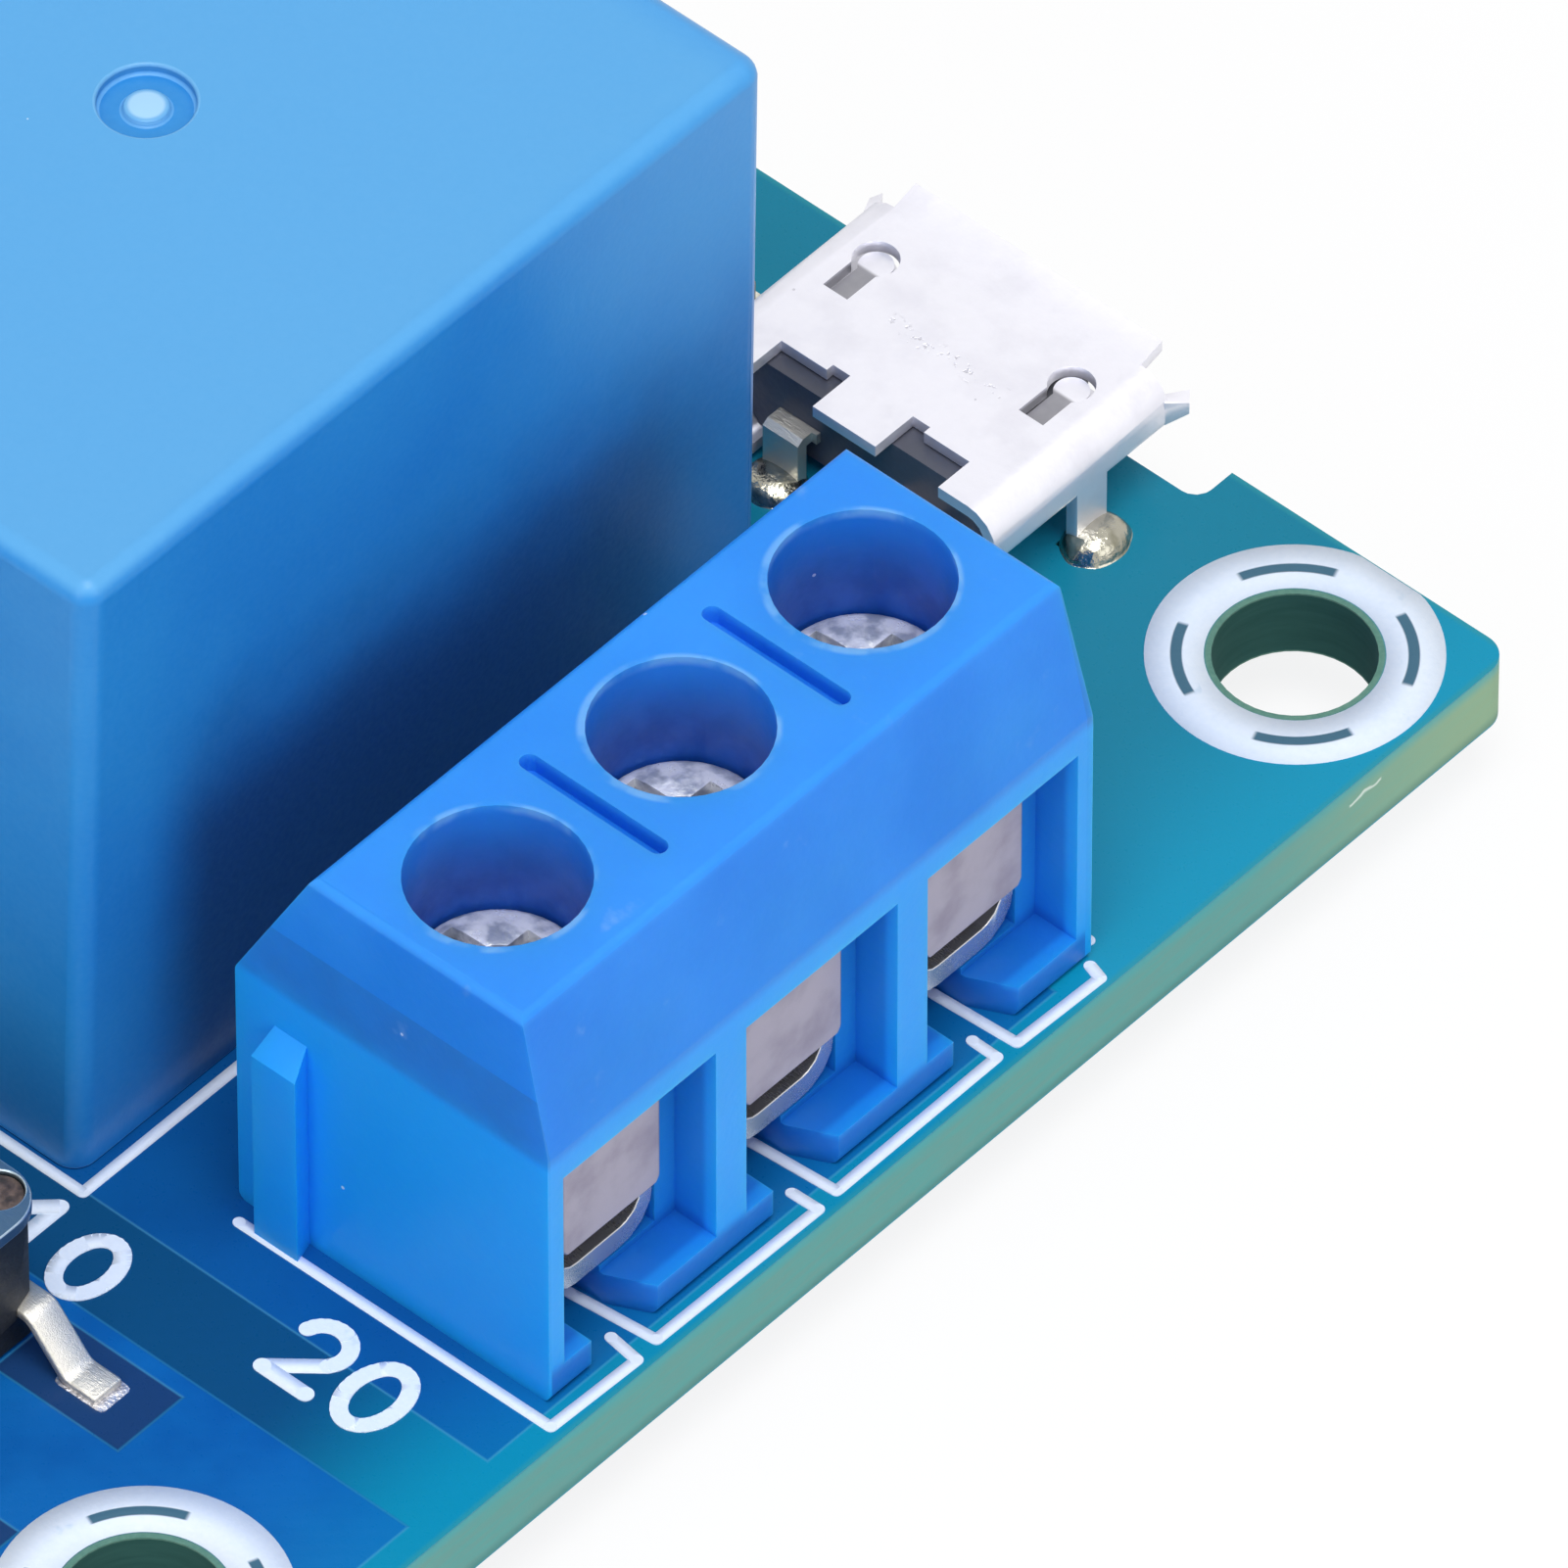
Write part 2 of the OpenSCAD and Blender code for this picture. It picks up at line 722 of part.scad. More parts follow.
// A switched terminal: pin, upright strip, arm over to the middle, and contact
module switched_terminal(x_side, arm_z, up) {
    x = x_side * pin_side_x;
    color("#cfa35e")
        at_relay() {
            translate([x, switched_y, 0]) {
                post(strip_t, pin_w, -board_t - pin_reach, base_h + strip_t);
                post(strip_t, strip_w, base_h, arm_z + strip_t);
            }
            translate([x / 2 - x_side * rivet_d / 4, switched_y, arm_z])
                linear_extrude(strip_t)
                    square([abs(x) + rivet_d / 2 + strip_t, strip_w], center = true);
            translate([0, switched_y, up ? arm_z + strip_t - eps : arm_z - rivet_h])
                cylinder(d = rivet_d, h = rivet_h + eps);
        }
}

module relay_nc_terminal() {
    switched_terminal(-1, nc_z, false);
}

module relay_no_terminal() {
    switched_terminal(1, no_z, true);
}

module relay_common_pin() {
    color("#cfa35e")
        at_relay()
            translate([0, com_y, 0])
                post(pin_w, strip_t, -board_t - pin_reach, pole_z / 2 - 0.2);
}

module relay_coil_pins() {
    color("#d9d6cc")
        at_relay()
            for (x = [-1, 1])
                translate([x * pin_side_x, coil_pin_y, 0])
                    post(strip_t, pin_w, -board_t - pin_reach, base_h + 2.6);
}

// Screw terminals
module at_terminal(output) {
    translate([output ? term_x : -term_x, output ? output_y : input_y, top])
        rotate(output ? 0 : 180)
            children();
}

function lean_profile() = rounded_outline([
    [term_back, 0, term_edge],
    [term_back, back_knee, 2 * term_edge],
    [term_back + back_lean, term_h, term_edge],
    [term_front - front_lean, term_h, term_edge],
    [term_front, front_knee, 2 * term_edge],
    [term_front, 0, term_edge]]);

function end_profile() = rounded_outline([
    [-term_l / 2, 0, 0],
    [-term_l / 2, back_knee, term_edge],
    [-term_l / 2 + end_lean, term_h, term_edge],
    [term_l / 2 - end_lean, term_h, term_edge],
    [term_l / 2, back_knee, term_edge],
    [term_l / 2, 0, 0]]);

// The dovetail that couples one housing to the next
module coupling(grow, high) {
    intersection() {
        translate([coupling_x, -term_l / 2, 0])
            linear_extrude(high)
                polygon([
                    [-ridge_w / 2 - grow, eps],
                    [-ridge_w / 2 - 0.15 - grow, -ridge_out - grow],
                    [ridge_w / 2 + 0.15 + grow, -ridge_out - grow],
                    [ridge_w / 2 + grow, eps]]);
        along_x(4 * term_d)
            polygon([
                [-term_l, -1],
                [-term_l, high - ridge_out - term_l / 2],
                [-term_l / 2 + 1, high + 1],
                [-term_l / 2 + 1, -1]]);
    }
}

// Everything that is hollow round one pole
module pole_room() {
    room_top = frame_top + clamp_fit;
    translate([0, 0, room_top - eps])
        cylinder(d = well_d, h = term_h);
    translate([
        frame_back - clamp_fit,
        -frame_w / 2 - clamp_fit,
        frame_z - clamp_fit])
        cube([frame_d + 2 * clamp_fit, frame_w + 2 * clamp_fit, room_top - frame_z + clamp_fit]);
    translate([frame_front, -entry_w / 2, lip_t])
        cube([term_front, entry_w, entry_top - lip_t]);
    translate([guard_x - clamp_fit, -guard_w / 2 - clamp_fit, guard_z])
        cube([
            guard_t + 2 * clamp_fit,
            guard_w + 2 * clamp_fit,
            guard_top + clamp_travel + 2 * clamp_fit - guard_z]);
    translate([term_front, -lip_shift, -1])
        linear_extrude(1 + frame_z)
            polygon([
                [1, -lip_gap / 2],
                [-lip_gap_l, -lip_gap / 2],
                [-lip_gap_l, lip_gap / 4],
                [-lip_gap_l / 2, lip_gap / 4],
                [0, lip_gap / 2],
                [1, lip_gap / 2]]);
    translate([clamp_pin_x, 0, 0])
        post(term_pin + 2 * clamp_fit, term_pin + 2 * clamp_fit, -1, frame_z);
}

module housing(output) {
    color(blue)
        at_terminal(output)
            difference() {
                union() {
                    intersection() {
                        along_y(term_l)
                            polygon(lean_profile());
                        along_x(4 * term_d)
                            polygon(end_profile());
                    }
                    coupling(0, ridge_h);
                }
                for (p = clamp_pins)
                    translate([0, p[1], 0])
                        pole_room();
                for (k = [0 : poles - 2])
                    translate([groove_x, pole_y(k) + pitch / 2, term_h - groove_depth])
                        rotate(90)
                            linear_extrude(1)
                                stadium(groove_w, groove_l);
                translate([0, term_l, -eps])
                    coupling(coupling_fit, ridge_h + coupling_fit);
            }
}

function frame_outline(side_in, floor_in, roof_in) = rounded_outline([
    [-frame_w / 2 + side_in, frame_top - roof_in, 0],
    [-frame_w / 2 + side_in, frame_z + floor_in, frame_r - side_in],
    [frame_w / 2 - side_in, frame_z + floor_in, frame_r - side_in],
    [frame_w / 2 - side_in, frame_top - roof_in, 0]]);

module clamp_frames(output) {
    color(zinc)
        at_terminal(output)
            for (p = clamp_pins)
                translate([0, p[1], 0]) {
                    difference() {
                        translate([(frame_front + frame_back) / 2, 0, 0])
                            along_x(frame_d)
                                difference() {
                                    polygon(frame_outline(0, 0, 0));
                                    polygon(frame_outline(frame_t, frame_floor, tap_t));
                                }
                        translate([0, 0, frame_top - tap_t - 1])
                            cylinder(d = shank_d + 2 * clamp_fit, h = tap_t + 2);
                    }
                    translate([p[0], 0, 0])
                        post(term_pin, term_pin, -board_t - pin_reach, frame_z + frame_t / 2);
                }
}

module wire_guard(output, k) {
    foot_w = frame_w - 2 * frame_t - 2 * clamp_fit;
    clip = 0.1;
    color("#a9a2b4")
        at_terminal(output)
            translate([0, pole_y(k), 0]) {
                translate([guard_x + guard_t / 2, 0, 0])
                    along_x(guard_t)
                        polygon([
                            [-guard_w / 2, guard_top],
                            [-guard_w / 2, guard_z + 1.6 * clip],
                            [-guard_w / 2 + clip, guard_z],
                            [guard_w / 2 - clip, guard_z],
                            [guard_w / 2, guard_z + 1.6 * clip],
                            [guard_w / 2, guard_top]]);
                translate([-shank_d / 2, -foot_w / 2, foot_z])
                    cube([guard_x + shank_d / 2 + eps, foot_w, foot_t]);
            }
}

module clamp_screw(output, k) {
    tip = foot_z + foot_t + clamp_fit;
    rim = head_z + head_h;
    crown = rim + head_rise;
    color("#d5d5dc")
        at_terminal(output)
            translate([0, pole_y(k), 0])
                difference() {
                    rotate_extrude()
                        polygon([
                            [0, tip],
                            [shank_d / 2 - 0.3, tip],
                            [shank_d / 2, tip + 0.3],
                            [shank_d / 2, head_z],
                            [head_d / 2 - 0.1, head_z],
                            [head_d / 2, head_z + 0.1],
                            [head_d / 2, rim],
                            [head_d / 2 * 0.9, rim + head_rise * 0.5],
                            [head_d / 2 * 0.66, rim + head_rise * 0.85],
                            [0, crown]]);
                    translate([-head_d / 2 + 0.3, -slot_w / 2, crown - slot_depth])
                        cube([head_d - 0.6, slot_w, 1]);
                    translate([-slot_w / 2, -head_d / 2 + 0.6, crown - slot_depth])
                        cube([slot_w, head_d - 1.2, 1]);
                    translate([0, 0, crown - slot_depth - 0.3])
                        cylinder(d1 = slot_w, d2 = 2.4 * slot_w, h = slot_depth + 0.3 + eps);
                }
}

// Power socket
module at_socket() {
    translate([socket_x, side, top])
        children();
}

function shell_outline(inset) = rounded_outline([
    [-socket_w / 2 + inset, socket_h - inset, socket_r - inset],
    [-socket_w / 2 + inset, socket_knee, 0.25],
    [-socket_foot / 2 + inset / 2, socket_lift + inset, 0.25],
    [socket_foot / 2 - inset / 2, socket_lift + inset, 0.25],
    [socket_w / 2 - inset, socket_knee, 0.25],
    [socket_w / 2 - inset, socket_h - inset, socket_r - inset]]);

// A straight slot with a round end, from the origin along Y
module keyhole(slot, head, l) {
    translate([-slot / 2, 0])
        square([slot, l - head / 2]);
    translate([0, l - head / 2])
        circle(d = head);
}

module socket_shell() {
    flare = 0.2;
    ear = 0.4;
    mid = (socket_back + socket_lip) / 2;
    tail_room = tail_span + tail_w + 0.6;
    leaf_root = 0.3;
    color(zinc)
        at_socket() {
            difference() {
                translate([0, mid, 0])
                    along_y(socket_l)
                        polygon(shell_outline(0));
                translate([0, mid, 0])
                    along_y(socket_l + 1)
                        polygon(shell_outline(socket_t));
                for (s = [-1, 1]) {
                    translate([s * (tongue_w + rear_notch_w) / 2, socket_back, socket_h])
                        cube([rear_notch_w, 2 * rear_notch_l, 4 * socket_t], center = true);
                    translate([s * (tongue_w / 2 + 0.22), socket_back, socket_h])
                        cube([0.44, 2 * rear_notch_l + 0.36, 4 * socket_t], center = true);
                    translate([s * window_span / 2, window_y, socket_h - 2 * socket_t])
                        linear_extrude(4 * socket_t)
                            keyhole(window_w * 0.65, window_w, window_l);
                }
                translate([0, socket_back, 0])
                    post(tail_room, 2 * rear_notch_l, 0, socket_knee);
            }
            for (s = [-1, 1]) {
                translate([s * window_span / 2, window_y - leaf_root, socket_h - 1.6 * socket_t])
                    linear_extrude(socket_t)
                        keyhole(window_w * 0.45, window_w * 0.75, leaf_root + window_l * 0.93);
                translate([s * leg_x, leg_y, 0])
                    post(socket_t, leg_w, -board_t - 0.4, socket_knee + 0.1);
                mirror([s > 0 ? 0 : 1, 0, 0])
                    translate([0, 0, socket_knee])
                        linear_extrude(socket_h - socket_r - socket_knee + 0.2)
                            polygon([
                                [socket_w / 2 - socket_t, socket_lip - 0.1],
                                [socket_w / 2, socket_lip - 0.1],
                                [socket_w / 2 + ear, socket_front],
                                [socket_w / 2 + ear - socket_t, socket_front]]);
            }
            along_x(socket_w - 2 * socket_r)
                polygon([
                    [socket_lip - 0.1, socket_h - socket_t],
                    [socket_lip - 0.1, socket_h],
                    [socket_front, socket_h + flare],
                    [socket_front, socket_h + flare - socket_t]]);
            along_x(socket_foot - 1)
                polygon([
                    [socket_lip - 0.1, socket_lift],
                    [socket_lip - 0.1, socket_lift + socket_t],
                    [socket_front, socket_lift + socket_t - flare],
                    [socket_front, socket_lift - flare]]);
        }
}

module contact_shape(grow) {
    inner_x = 1.3;
    for (s = [-1, 1]) {
        translate([s * inner_x, 0, 0])
            along_x(0.5 + 2 * grow)
                polygon([
                    [socket_back + 0.4, contact_z - grow],
                    [socket_lip - 0.4, contact_z - grow],
                    [socket_lip - 0.4, contact_z + contact_t + grow],
                    [socket_back + 0.4, contact_z + contact_t + grow]]);
        translate([s * tail_span / 2, 0, 0])
            along_x(tail_w + 2 * grow)
                polygon([
                    [socket_back + 1.2, contact_z - grow],
                    [socket_back + 1.2, contact_z + contact_t + grow],
                    [socket_back + 0.15 - grow, contact_z + contact_t + grow],
                    [socket_back - grow, contact_z + contact_t - 0.1],
                    [socket_back - grow, contact_t + grow],
                    [socket_back - 0.35 - grow, contact_t + grow],
                    [socket_back - 0.35 - grow, 0],
                    [socket_back + contact_t + grow, 0],
                    [socket_back + contact_t + grow, contact_z - grow]]);
    }
}

module socket_contacts() {
    color("#e3dccb")
        at_socket()
            contact_shape(0);
}

module socket_insulator() {
    rear = socket_back + 0.5;
    fore = window_y - 0.4;
    tongue = 3.8;
    color(black)
        at_socket()
            difference() {
                union() {
                    translate([0, (rear + fore) / 2, 0])
                        along_y(fore - rear)
                            polygon(shell_outline(socket_t + seat));
                    translate([0, (rear + socket_lip) / 2, 0])
                        along_y(socket_lip - 0.2 - rear)
                            polygon(rounded_outline([
                                [-tongue / 2, contact_z + contact_t, 0],
                                [-tongue / 2, contact_z + contact_t + 0.6, 0.15],
                                [tongue / 2, contact_z + contact_t + 0.6, 0.15],
                                [tongue / 2, contact_z + contact_t, 0]]));
                }
                contact_shape(0.01);
            }
}

// A long mound of solder with round ends
module solder_mound(r1, r2, straight, h) {
    for (y = [-1, 1])
        translate([0, y * straight / 2, 0])
            cylinder(r1 = r1, r2 = r2, h = h);
    along_y(straight)
        polygon([[-r1, 0], [-r2, h], [r2, h], [r1, 0]]);
}

module socket_solder() {
    color("#dfe3ea")
        at_socket()
            difference() {
                union() {
                    for (s = [-1, 1]) {
                        translate([s * (leg_x + 0.25), leg_y, 0])
                            solder_mound(0.7, 0.3, 0.3, 0.6);
                        translate([s * tail_span / 2, blob_y - 0.1, 0])
                            cylinder(r1 = 0.75, r2 = 0.4, h = 0.45);
                    }
                }
                for (s = [-1, 1])
                    translate([s * leg_x, leg_y, 0])
                        post(socket_t + 0.02, leg_w + 0.02, -1, 2);
                translate([0, (socket_back + socket_lip) / 2, 0])
                    along_y(socket_l)
                        polygon(shell_outline(-0.05));
                contact_shape(0.01);
            }
}

// Keys
module at_key(i) {
    translate([key_x(i), key_y, top])
        children();
}

module key_lead_shape(grow) {
    inner = key_w / 2 - 0.4;
    knee = key_w / 2 + 0.25;
    toe = key_span / 2 - 0.85;
    for (s = [0, 1], y = [-1, 1])
        mirror([s, 0, 0])
            translate([0, y * key_lead_span / 2, 0])
                along_y(key_lead_w + 2 * grow)
                    polygon(rounded_outline([
                        [inner - grow, lead_z - grow, 0],
                        [inner - grow, lead_z + lead_t + grow, 0],
                        [knee + lead_t / 2, lead_z + lead_t + grow, 0.4],
                        [toe + lead_t / 2, lead_t, 0.3],
                        [key_span / 2, lead_t, 0],
                        [key_span / 2, 0, 0],
                        [toe, 0, 0.4],
                        [knee, lead_z - grow, 0.3]]));
}

module key_bases() {
    body_w = key_w + 0.1;
    body_top = key_h - plate_t;
    color(black)
        for (i = [0 : keys - 1])
            at_key(i)
                difference() {
                    union() {
                        translate([0, 0, 0.1])
                            linear_extrude(body_top - 0.1)
                                rounded(body_w, body_w, 0.5);
                        for (x = [-1, 1], y = [-1, 1])
                            translate([x * stud_x, y * stud_y, body_top - eps])
                                cylinder(d = stud_d, h = plate_t * 0.7);
                    }
                    translate([0, 0, well_floor])
                        cylinder(d = collar_d + 0.2, h = key_h);
                    key_lead_shape(0.02);
                }
}

module key_covers() {
    color("#9fb0ba")
        for (i = [0 : keys - 1])
            at_key(i)
                difference() {
                    translate([0, 0, key_h - plate_t])
                        linear_extrude(plate_t)
                            rounded(key_w, key_w, 1);
                    cylinder(d = button_d + 0.2, h = 2 * key_h);
                    for (x = [-1, 1], y = [-1, 1])
                        translate([x * stud_x, y * stud_y, 0])
                            cylinder(d = stud_d + 0.04, h = 2 * key_h);
                }
}

module key_leads() {
    color("#dcd8cc")
        for (i = [0 : keys - 1])
            at_key(i)
                key_lead_shape(0);
}

// A domed leaf: half of its section as an outline of radius and height
function dome_arc(r, low, steps) = [
    for (s = [0 : steps])
        [r * s / steps, (dome_h - dome_t) * cos(90 * s / steps) + low]];

function backward(p) = [for (i = [len(p) - 1 : -1 : 0]) p[i]];

module key_dome(i) {
    steps = 5;
    r = collar_d / 2 - 0.05;
    color("#cfd2d6")
        at_key(i)
            translate([0, 0, well_floor])
                rotate_extrude()
                    polygon(concat(dome_arc(r, dome_t, steps), backward(dome_arc(r, 0, steps))));
}

module key_button(i) {
    low = well_floor + dome_h + 0.05;
    collar = key_h - plate_t - 0.05;
    color(black)
        at_key(i)
            rotate_extrude()
                polygon([
                    [0, low],
                    [0.9, low],
                    [1, low + 0.3],
                    [1, collar - 0.6],
                    [collar_d / 2, collar - 0.6],
                    [collar_d / 2, collar],
                    [button_d / 2, collar],
                    [button_d / 2, button_h - 0.2],
                    [button_d / 2 - 0.2, button_h],
                    [0, button_h]]);
}

// Display
function bar(l, w, x, y, upright) = [
    for (q = [[-l / 2, 0], [w / 2 - l / 2, w / 2], [l / 2 - w / 2, w / 2],
              [l / 2, 0], [l / 2 - w / 2, -w / 2], [w / 2 - l / 2, -w / 2]])
        let (p = upright ? [x - q[1], y + q[0]] : [x + q[0], y + q[1]])
            [p[0] + p[1] * tan(digit_lean), p[1]]];

module digit_faces(grow) {
    wide = digit_w - segment_w;
    tall = (digit_h - segment_w) / 2;
    gap = 0.15;
    for (i = [0 : digits - 1])
        translate([(i - (digits - 1) / 2) * digit_pitch, 0]) {
            for (row = [-1 : 1])
                polygon(bar(wide - gap + 2 * grow, segment_w + 2 * grow, 0, row * tall, false));
            for (x = [-1, 1], y = [-1, 1])
                polygon(bar(tall - gap + 2 * grow, segment_w + 2 * grow,
                    x * wide / 2, y * tall / 2, true));
            translate([digit_w / 2 + 0.25, -digit_h / 2 + 0.45])
                circle(d = segment_w + 2 * grow, $fn = hull_fn);
        }
}

module display_case() {
    color("#2a2c33")
        difference() {
            translate([display_x, display_y, top])
                linear_extrude(display_h)
                    rounded(display_l, display_w, 0.3);
            translate([display_x, display_y, top + display_h - segment_t])
                linear_extrude(1)
                    digit_faces(segment_fit);
            for (p = display_pins_at)
                translate([p[0], p[1], 0])
                    cylinder(d = display_pin_d + 2 * seat, h = top + 1.2);
        }
}

module display_segments() {
    color("#e9d9d6")
        translate([display_x, display_y, top + display_h - segment_t])
            linear_extrude(segment_t - 0.05)
                digit_faces(0);
}

module display_pins() {
    color("#d9d6cc")
        for (p = display_pins_at)
            translate([p[0], p[1], -pin_reach])
                cylinder(d = display_pin_d, h = pin_reach + top + 1.15);
}

// A moulded chip body with drafted sides and a band where its leads leave
module moulded(l, w, h, low, band) {
    slope = 0.12 * h;
    mid = low + h / 2;
    intersection() {
        along_y(w + 1)
            polygon(draft_profile(l, low, h, mid, band, slope));
        along_x(l + 1)
            polygon(draft_profile(w, low, h, mid, band, slope));
    }
}

function draft_profile(l, low, h, mid, band, slope) = [
    [-l / 2 + slope, low],
    [-l / 2, mid - band / 2],
    [-l / 2, mid + band / 2],
    [-l / 2 + slope, low + h],
    [l / 2 - slope, low + h],
    [l / 2, mid + band / 2],
    [l / 2, mid - band / 2],
    [l / 2 - slope, low]];

// Bent leads on both long sides of a chip
module leads(count, spacing, w, body_w, span, mid, t) {
    for (s = [0, 1], i = [0 : count - 1])
        mirror([0, s, 0])
            translate([(i - (count - 1) / 2) * spacing, 0, 0])
                along_x(w)
                    polygon([
                        [body_w / 2, mid - t / 2],
                        [body_w / 2, mid + t / 2],
                        [body_w / 2 + 0.25 + t, mid + t / 2],
                        [body_w / 2 + 0.35 + t, t],
                        [span / 2, t],
                        [span / 2, 0],
                        [body_w / 2 + 0.35, 0],
                        [body_w / 2 + 0.25, mid - t / 2]]);
}

module placed(at) {
    translate([at[0], at[1], top])
        children();
}

// A round mark moulded in a chip's top, near its first lead
module first_mark(l, w, high) {
    translate([-l / 2 + 0.9, -w / 2 + 0.8, high - 0.05])
        cylinder(d = 0.7, h = 1);
}

module controller_chip() {
    color(black)
        placed(chip_at)
            difference() {
                moulded(chip_l, chip_w, chip_h, stand_off, lead_t);
                first_mark(chip_l, chip_w, chip_h + stand_off);
            }
}

module controller_leads() {
    color(zinc)
        placed(chip_at)
            leads(10, chip_pitch, 0.25, chip_w, chip_span, stand_off + chip_h / 2, lead_t);
}

module optocoupler() {
    color(black)
        placed(opto_at)
            difference() {
                moulded(opto_l, opto_w, opto_h, stand_off, lead_t);
                first_mark(opto_l, opto_w, opto_h + stand_off);
            }
}

module optocoupler_leads() {
    color(zinc)
        placed(opto_at)
            leads(2, 2.54, 0.4, opto_w, opto_span, stand_off + opto_h / 2, lead_t);
}

// A folded end strap of a diode, from its middle height down and back under
module end_strap() {
    mid = stand_off + diode_h / 2;
    out = diode_l / 2 + 0.35;
    along_y(diode_w * 0.6)
        polygon([
            [diode_l / 2 - 0.1, mid - lead_t / 2],
            [diode_l / 2 - 0.1, mid + lead_t / 2],
            [out, mid + lead_t / 2],
            [out, 0],
            [out - 1, 0],
            [out - 1, stand_off + 0.05],
            [out - lead_t, stand_off + 0.05],
            [out - lead_t, mid - lead_t / 2]]);
}

module diode() {
    color(black)
        placed(diode_at) {
            moulded(diode_l, diode_w, diode_h, stand_off, lead_t);
            for (s = [0, 1])
                mirror([s, 0, 0])
                    end_strap();
        }
}

module transistor() {
    mid = stand_off + transistor_h / 2;
    span = transistor_w + 1.1;
    color(black)
        placed(transistor_at) {
            moulded(transistor_l, transistor_w, transistor_h, stand_off, lead_t);
            intersection() {
                leads(2, 1.9, 0.4, transistor_w - 0.04, span, mid, lead_t);
                translate([-transistor_l, -span, 0])
                    cube([2 * transistor_l, span, 2 * mid]);
            }
            intersection() {
                leads(1, 1, 0.4, transistor_w - 0.04, span, mid, lead_t);
                translate([-transistor_l, 0, 0])
                    cube([2 * transistor_l, span, 2 * mid]);
            }
        }
}

module regulator() {
    tab_t = 0.4;
    color(black)
        placed(regulator_at) {
            moulded(regulator_l, regulator_w, regulator_h, 0.05, lead_t);
            for (x = [-1 : 1])
                translate([x * regulator_l / 3, -regulator_w / 2 - 0.35, 0])
                    post(0.45, 1.2, 0, tab_t);
            translate([0, regulator_w / 2 + 0.25, 0])
                post(1.7, 1, 0, tab_t);
        }
}

// A chip resistor or capacitor: ceramic block with metal ends
module two_ended(l, w, h) {
    cap = 0.2 * l;
    post(w, l - 2 * cap, 0.04, h - 0.04);
    for (y = [-1, 1])
        translate([0, y * (l - cap) / 2, 0])
            post(w, cap + eps, 0, h);
}

module chip_resistors() {
    color("#2f3238")
        for (p = resistors_at)
            placed(p)
                two_ended(resistor_l, resistor_w, resistor_h);
}

module chip_capacitors() {
    color("#a98a63")
        for (p = capacitors_at)
            placed(p)
                two_ended(capacitor_l, capacitor_w, capacitor_h);
}

module indicator_leds() {
    color("#f4f2e6")
        for (p = leds_at)
            placed(p) {
                two_ended(capacitor_l, capacitor_w, led_h / 2);
                translate([0, 0, led_h / 2 - 0.05])
                    linear_extrude(led_h / 2 + 0.05)
                        rounded(capacitor_w - 0.1, capacitor_l * 0.6, 0.2);
            }
}

// Radius of the solder at the board, wider round a stout pin
function joint_foot(pin_r) = max(pin_r + 0.25, joint_r * (0.6 + 0.6 * pin_r));

// Solder on the underside, a cone round each pin
module solder_joints() {
    tip_ring = 0.05;
    color("#d3d7de")
        translate([0, 0, -joint_h])
            for (p = drilled)
                translate([p[0], p[1], 0])
                    difference() {
                        cylinder(r1 = p[2] + tip_ring, r2 = joint_foot(p[2]), h = joint_h);
                        translate([0, 0, -1])
                            cylinder(r = p[2] + eps, h = joint_h + 2);
                    }
}

circuit_board();
relay_cover();
relay_base();
relay_bobbin();
relay_coil();
relay_core();
relay_yoke();
relay_armature();
relay_contact_blade();
relay_hinge_spring();
relay_nc_terminal();
relay_no_terminal();
relay_common_pin();
relay_coil_pins();
housing(true);  // output_housing
clamp_frames(true);  // output_clamp_frames
for (i = [1 : poles]) {
    wire_guard(true, i - 1);
    clamp_screw(true, i - 1);
}
housing(false);  // input_housing
clamp_frames(false);  // input_clamp_frames
for (i = [1 : poles]) {
    wire_guard(false, i - 1);
    clamp_screw(false, i - 1);
}
socket_shell();
socket_insulator();
socket_contacts();
socket_solder();
key_bases();
key_covers();
key_leads();
for (i = [1 : keys]) {
    key_dome(i - 1);
    key_button(i - 1);
}
display_case();
display_segments();
display_pins();
controller_chip();
controller_leads();
optocoupler();
optocoupler_leads();
regulator();
diode();
transistor();
chip_resistors();
chip_capacitors();
indicator_leds();
solder_joints();
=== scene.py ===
# %% [markdown]
# # A relay module board, dressed around its CAD model
# The board, its relay, its screw terminals, its power socket and its keys all have exact CAD solids.
# This lesson loads them as a fixed frame and gives each one the finish that the real thing has.
# Where moulding, folding or soldering rounds a shape, a finer piece takes the place of the solid.

# %% Load the frame
import json
import math

import bmesh
import bpy
from mathutils import Matrix, Vector

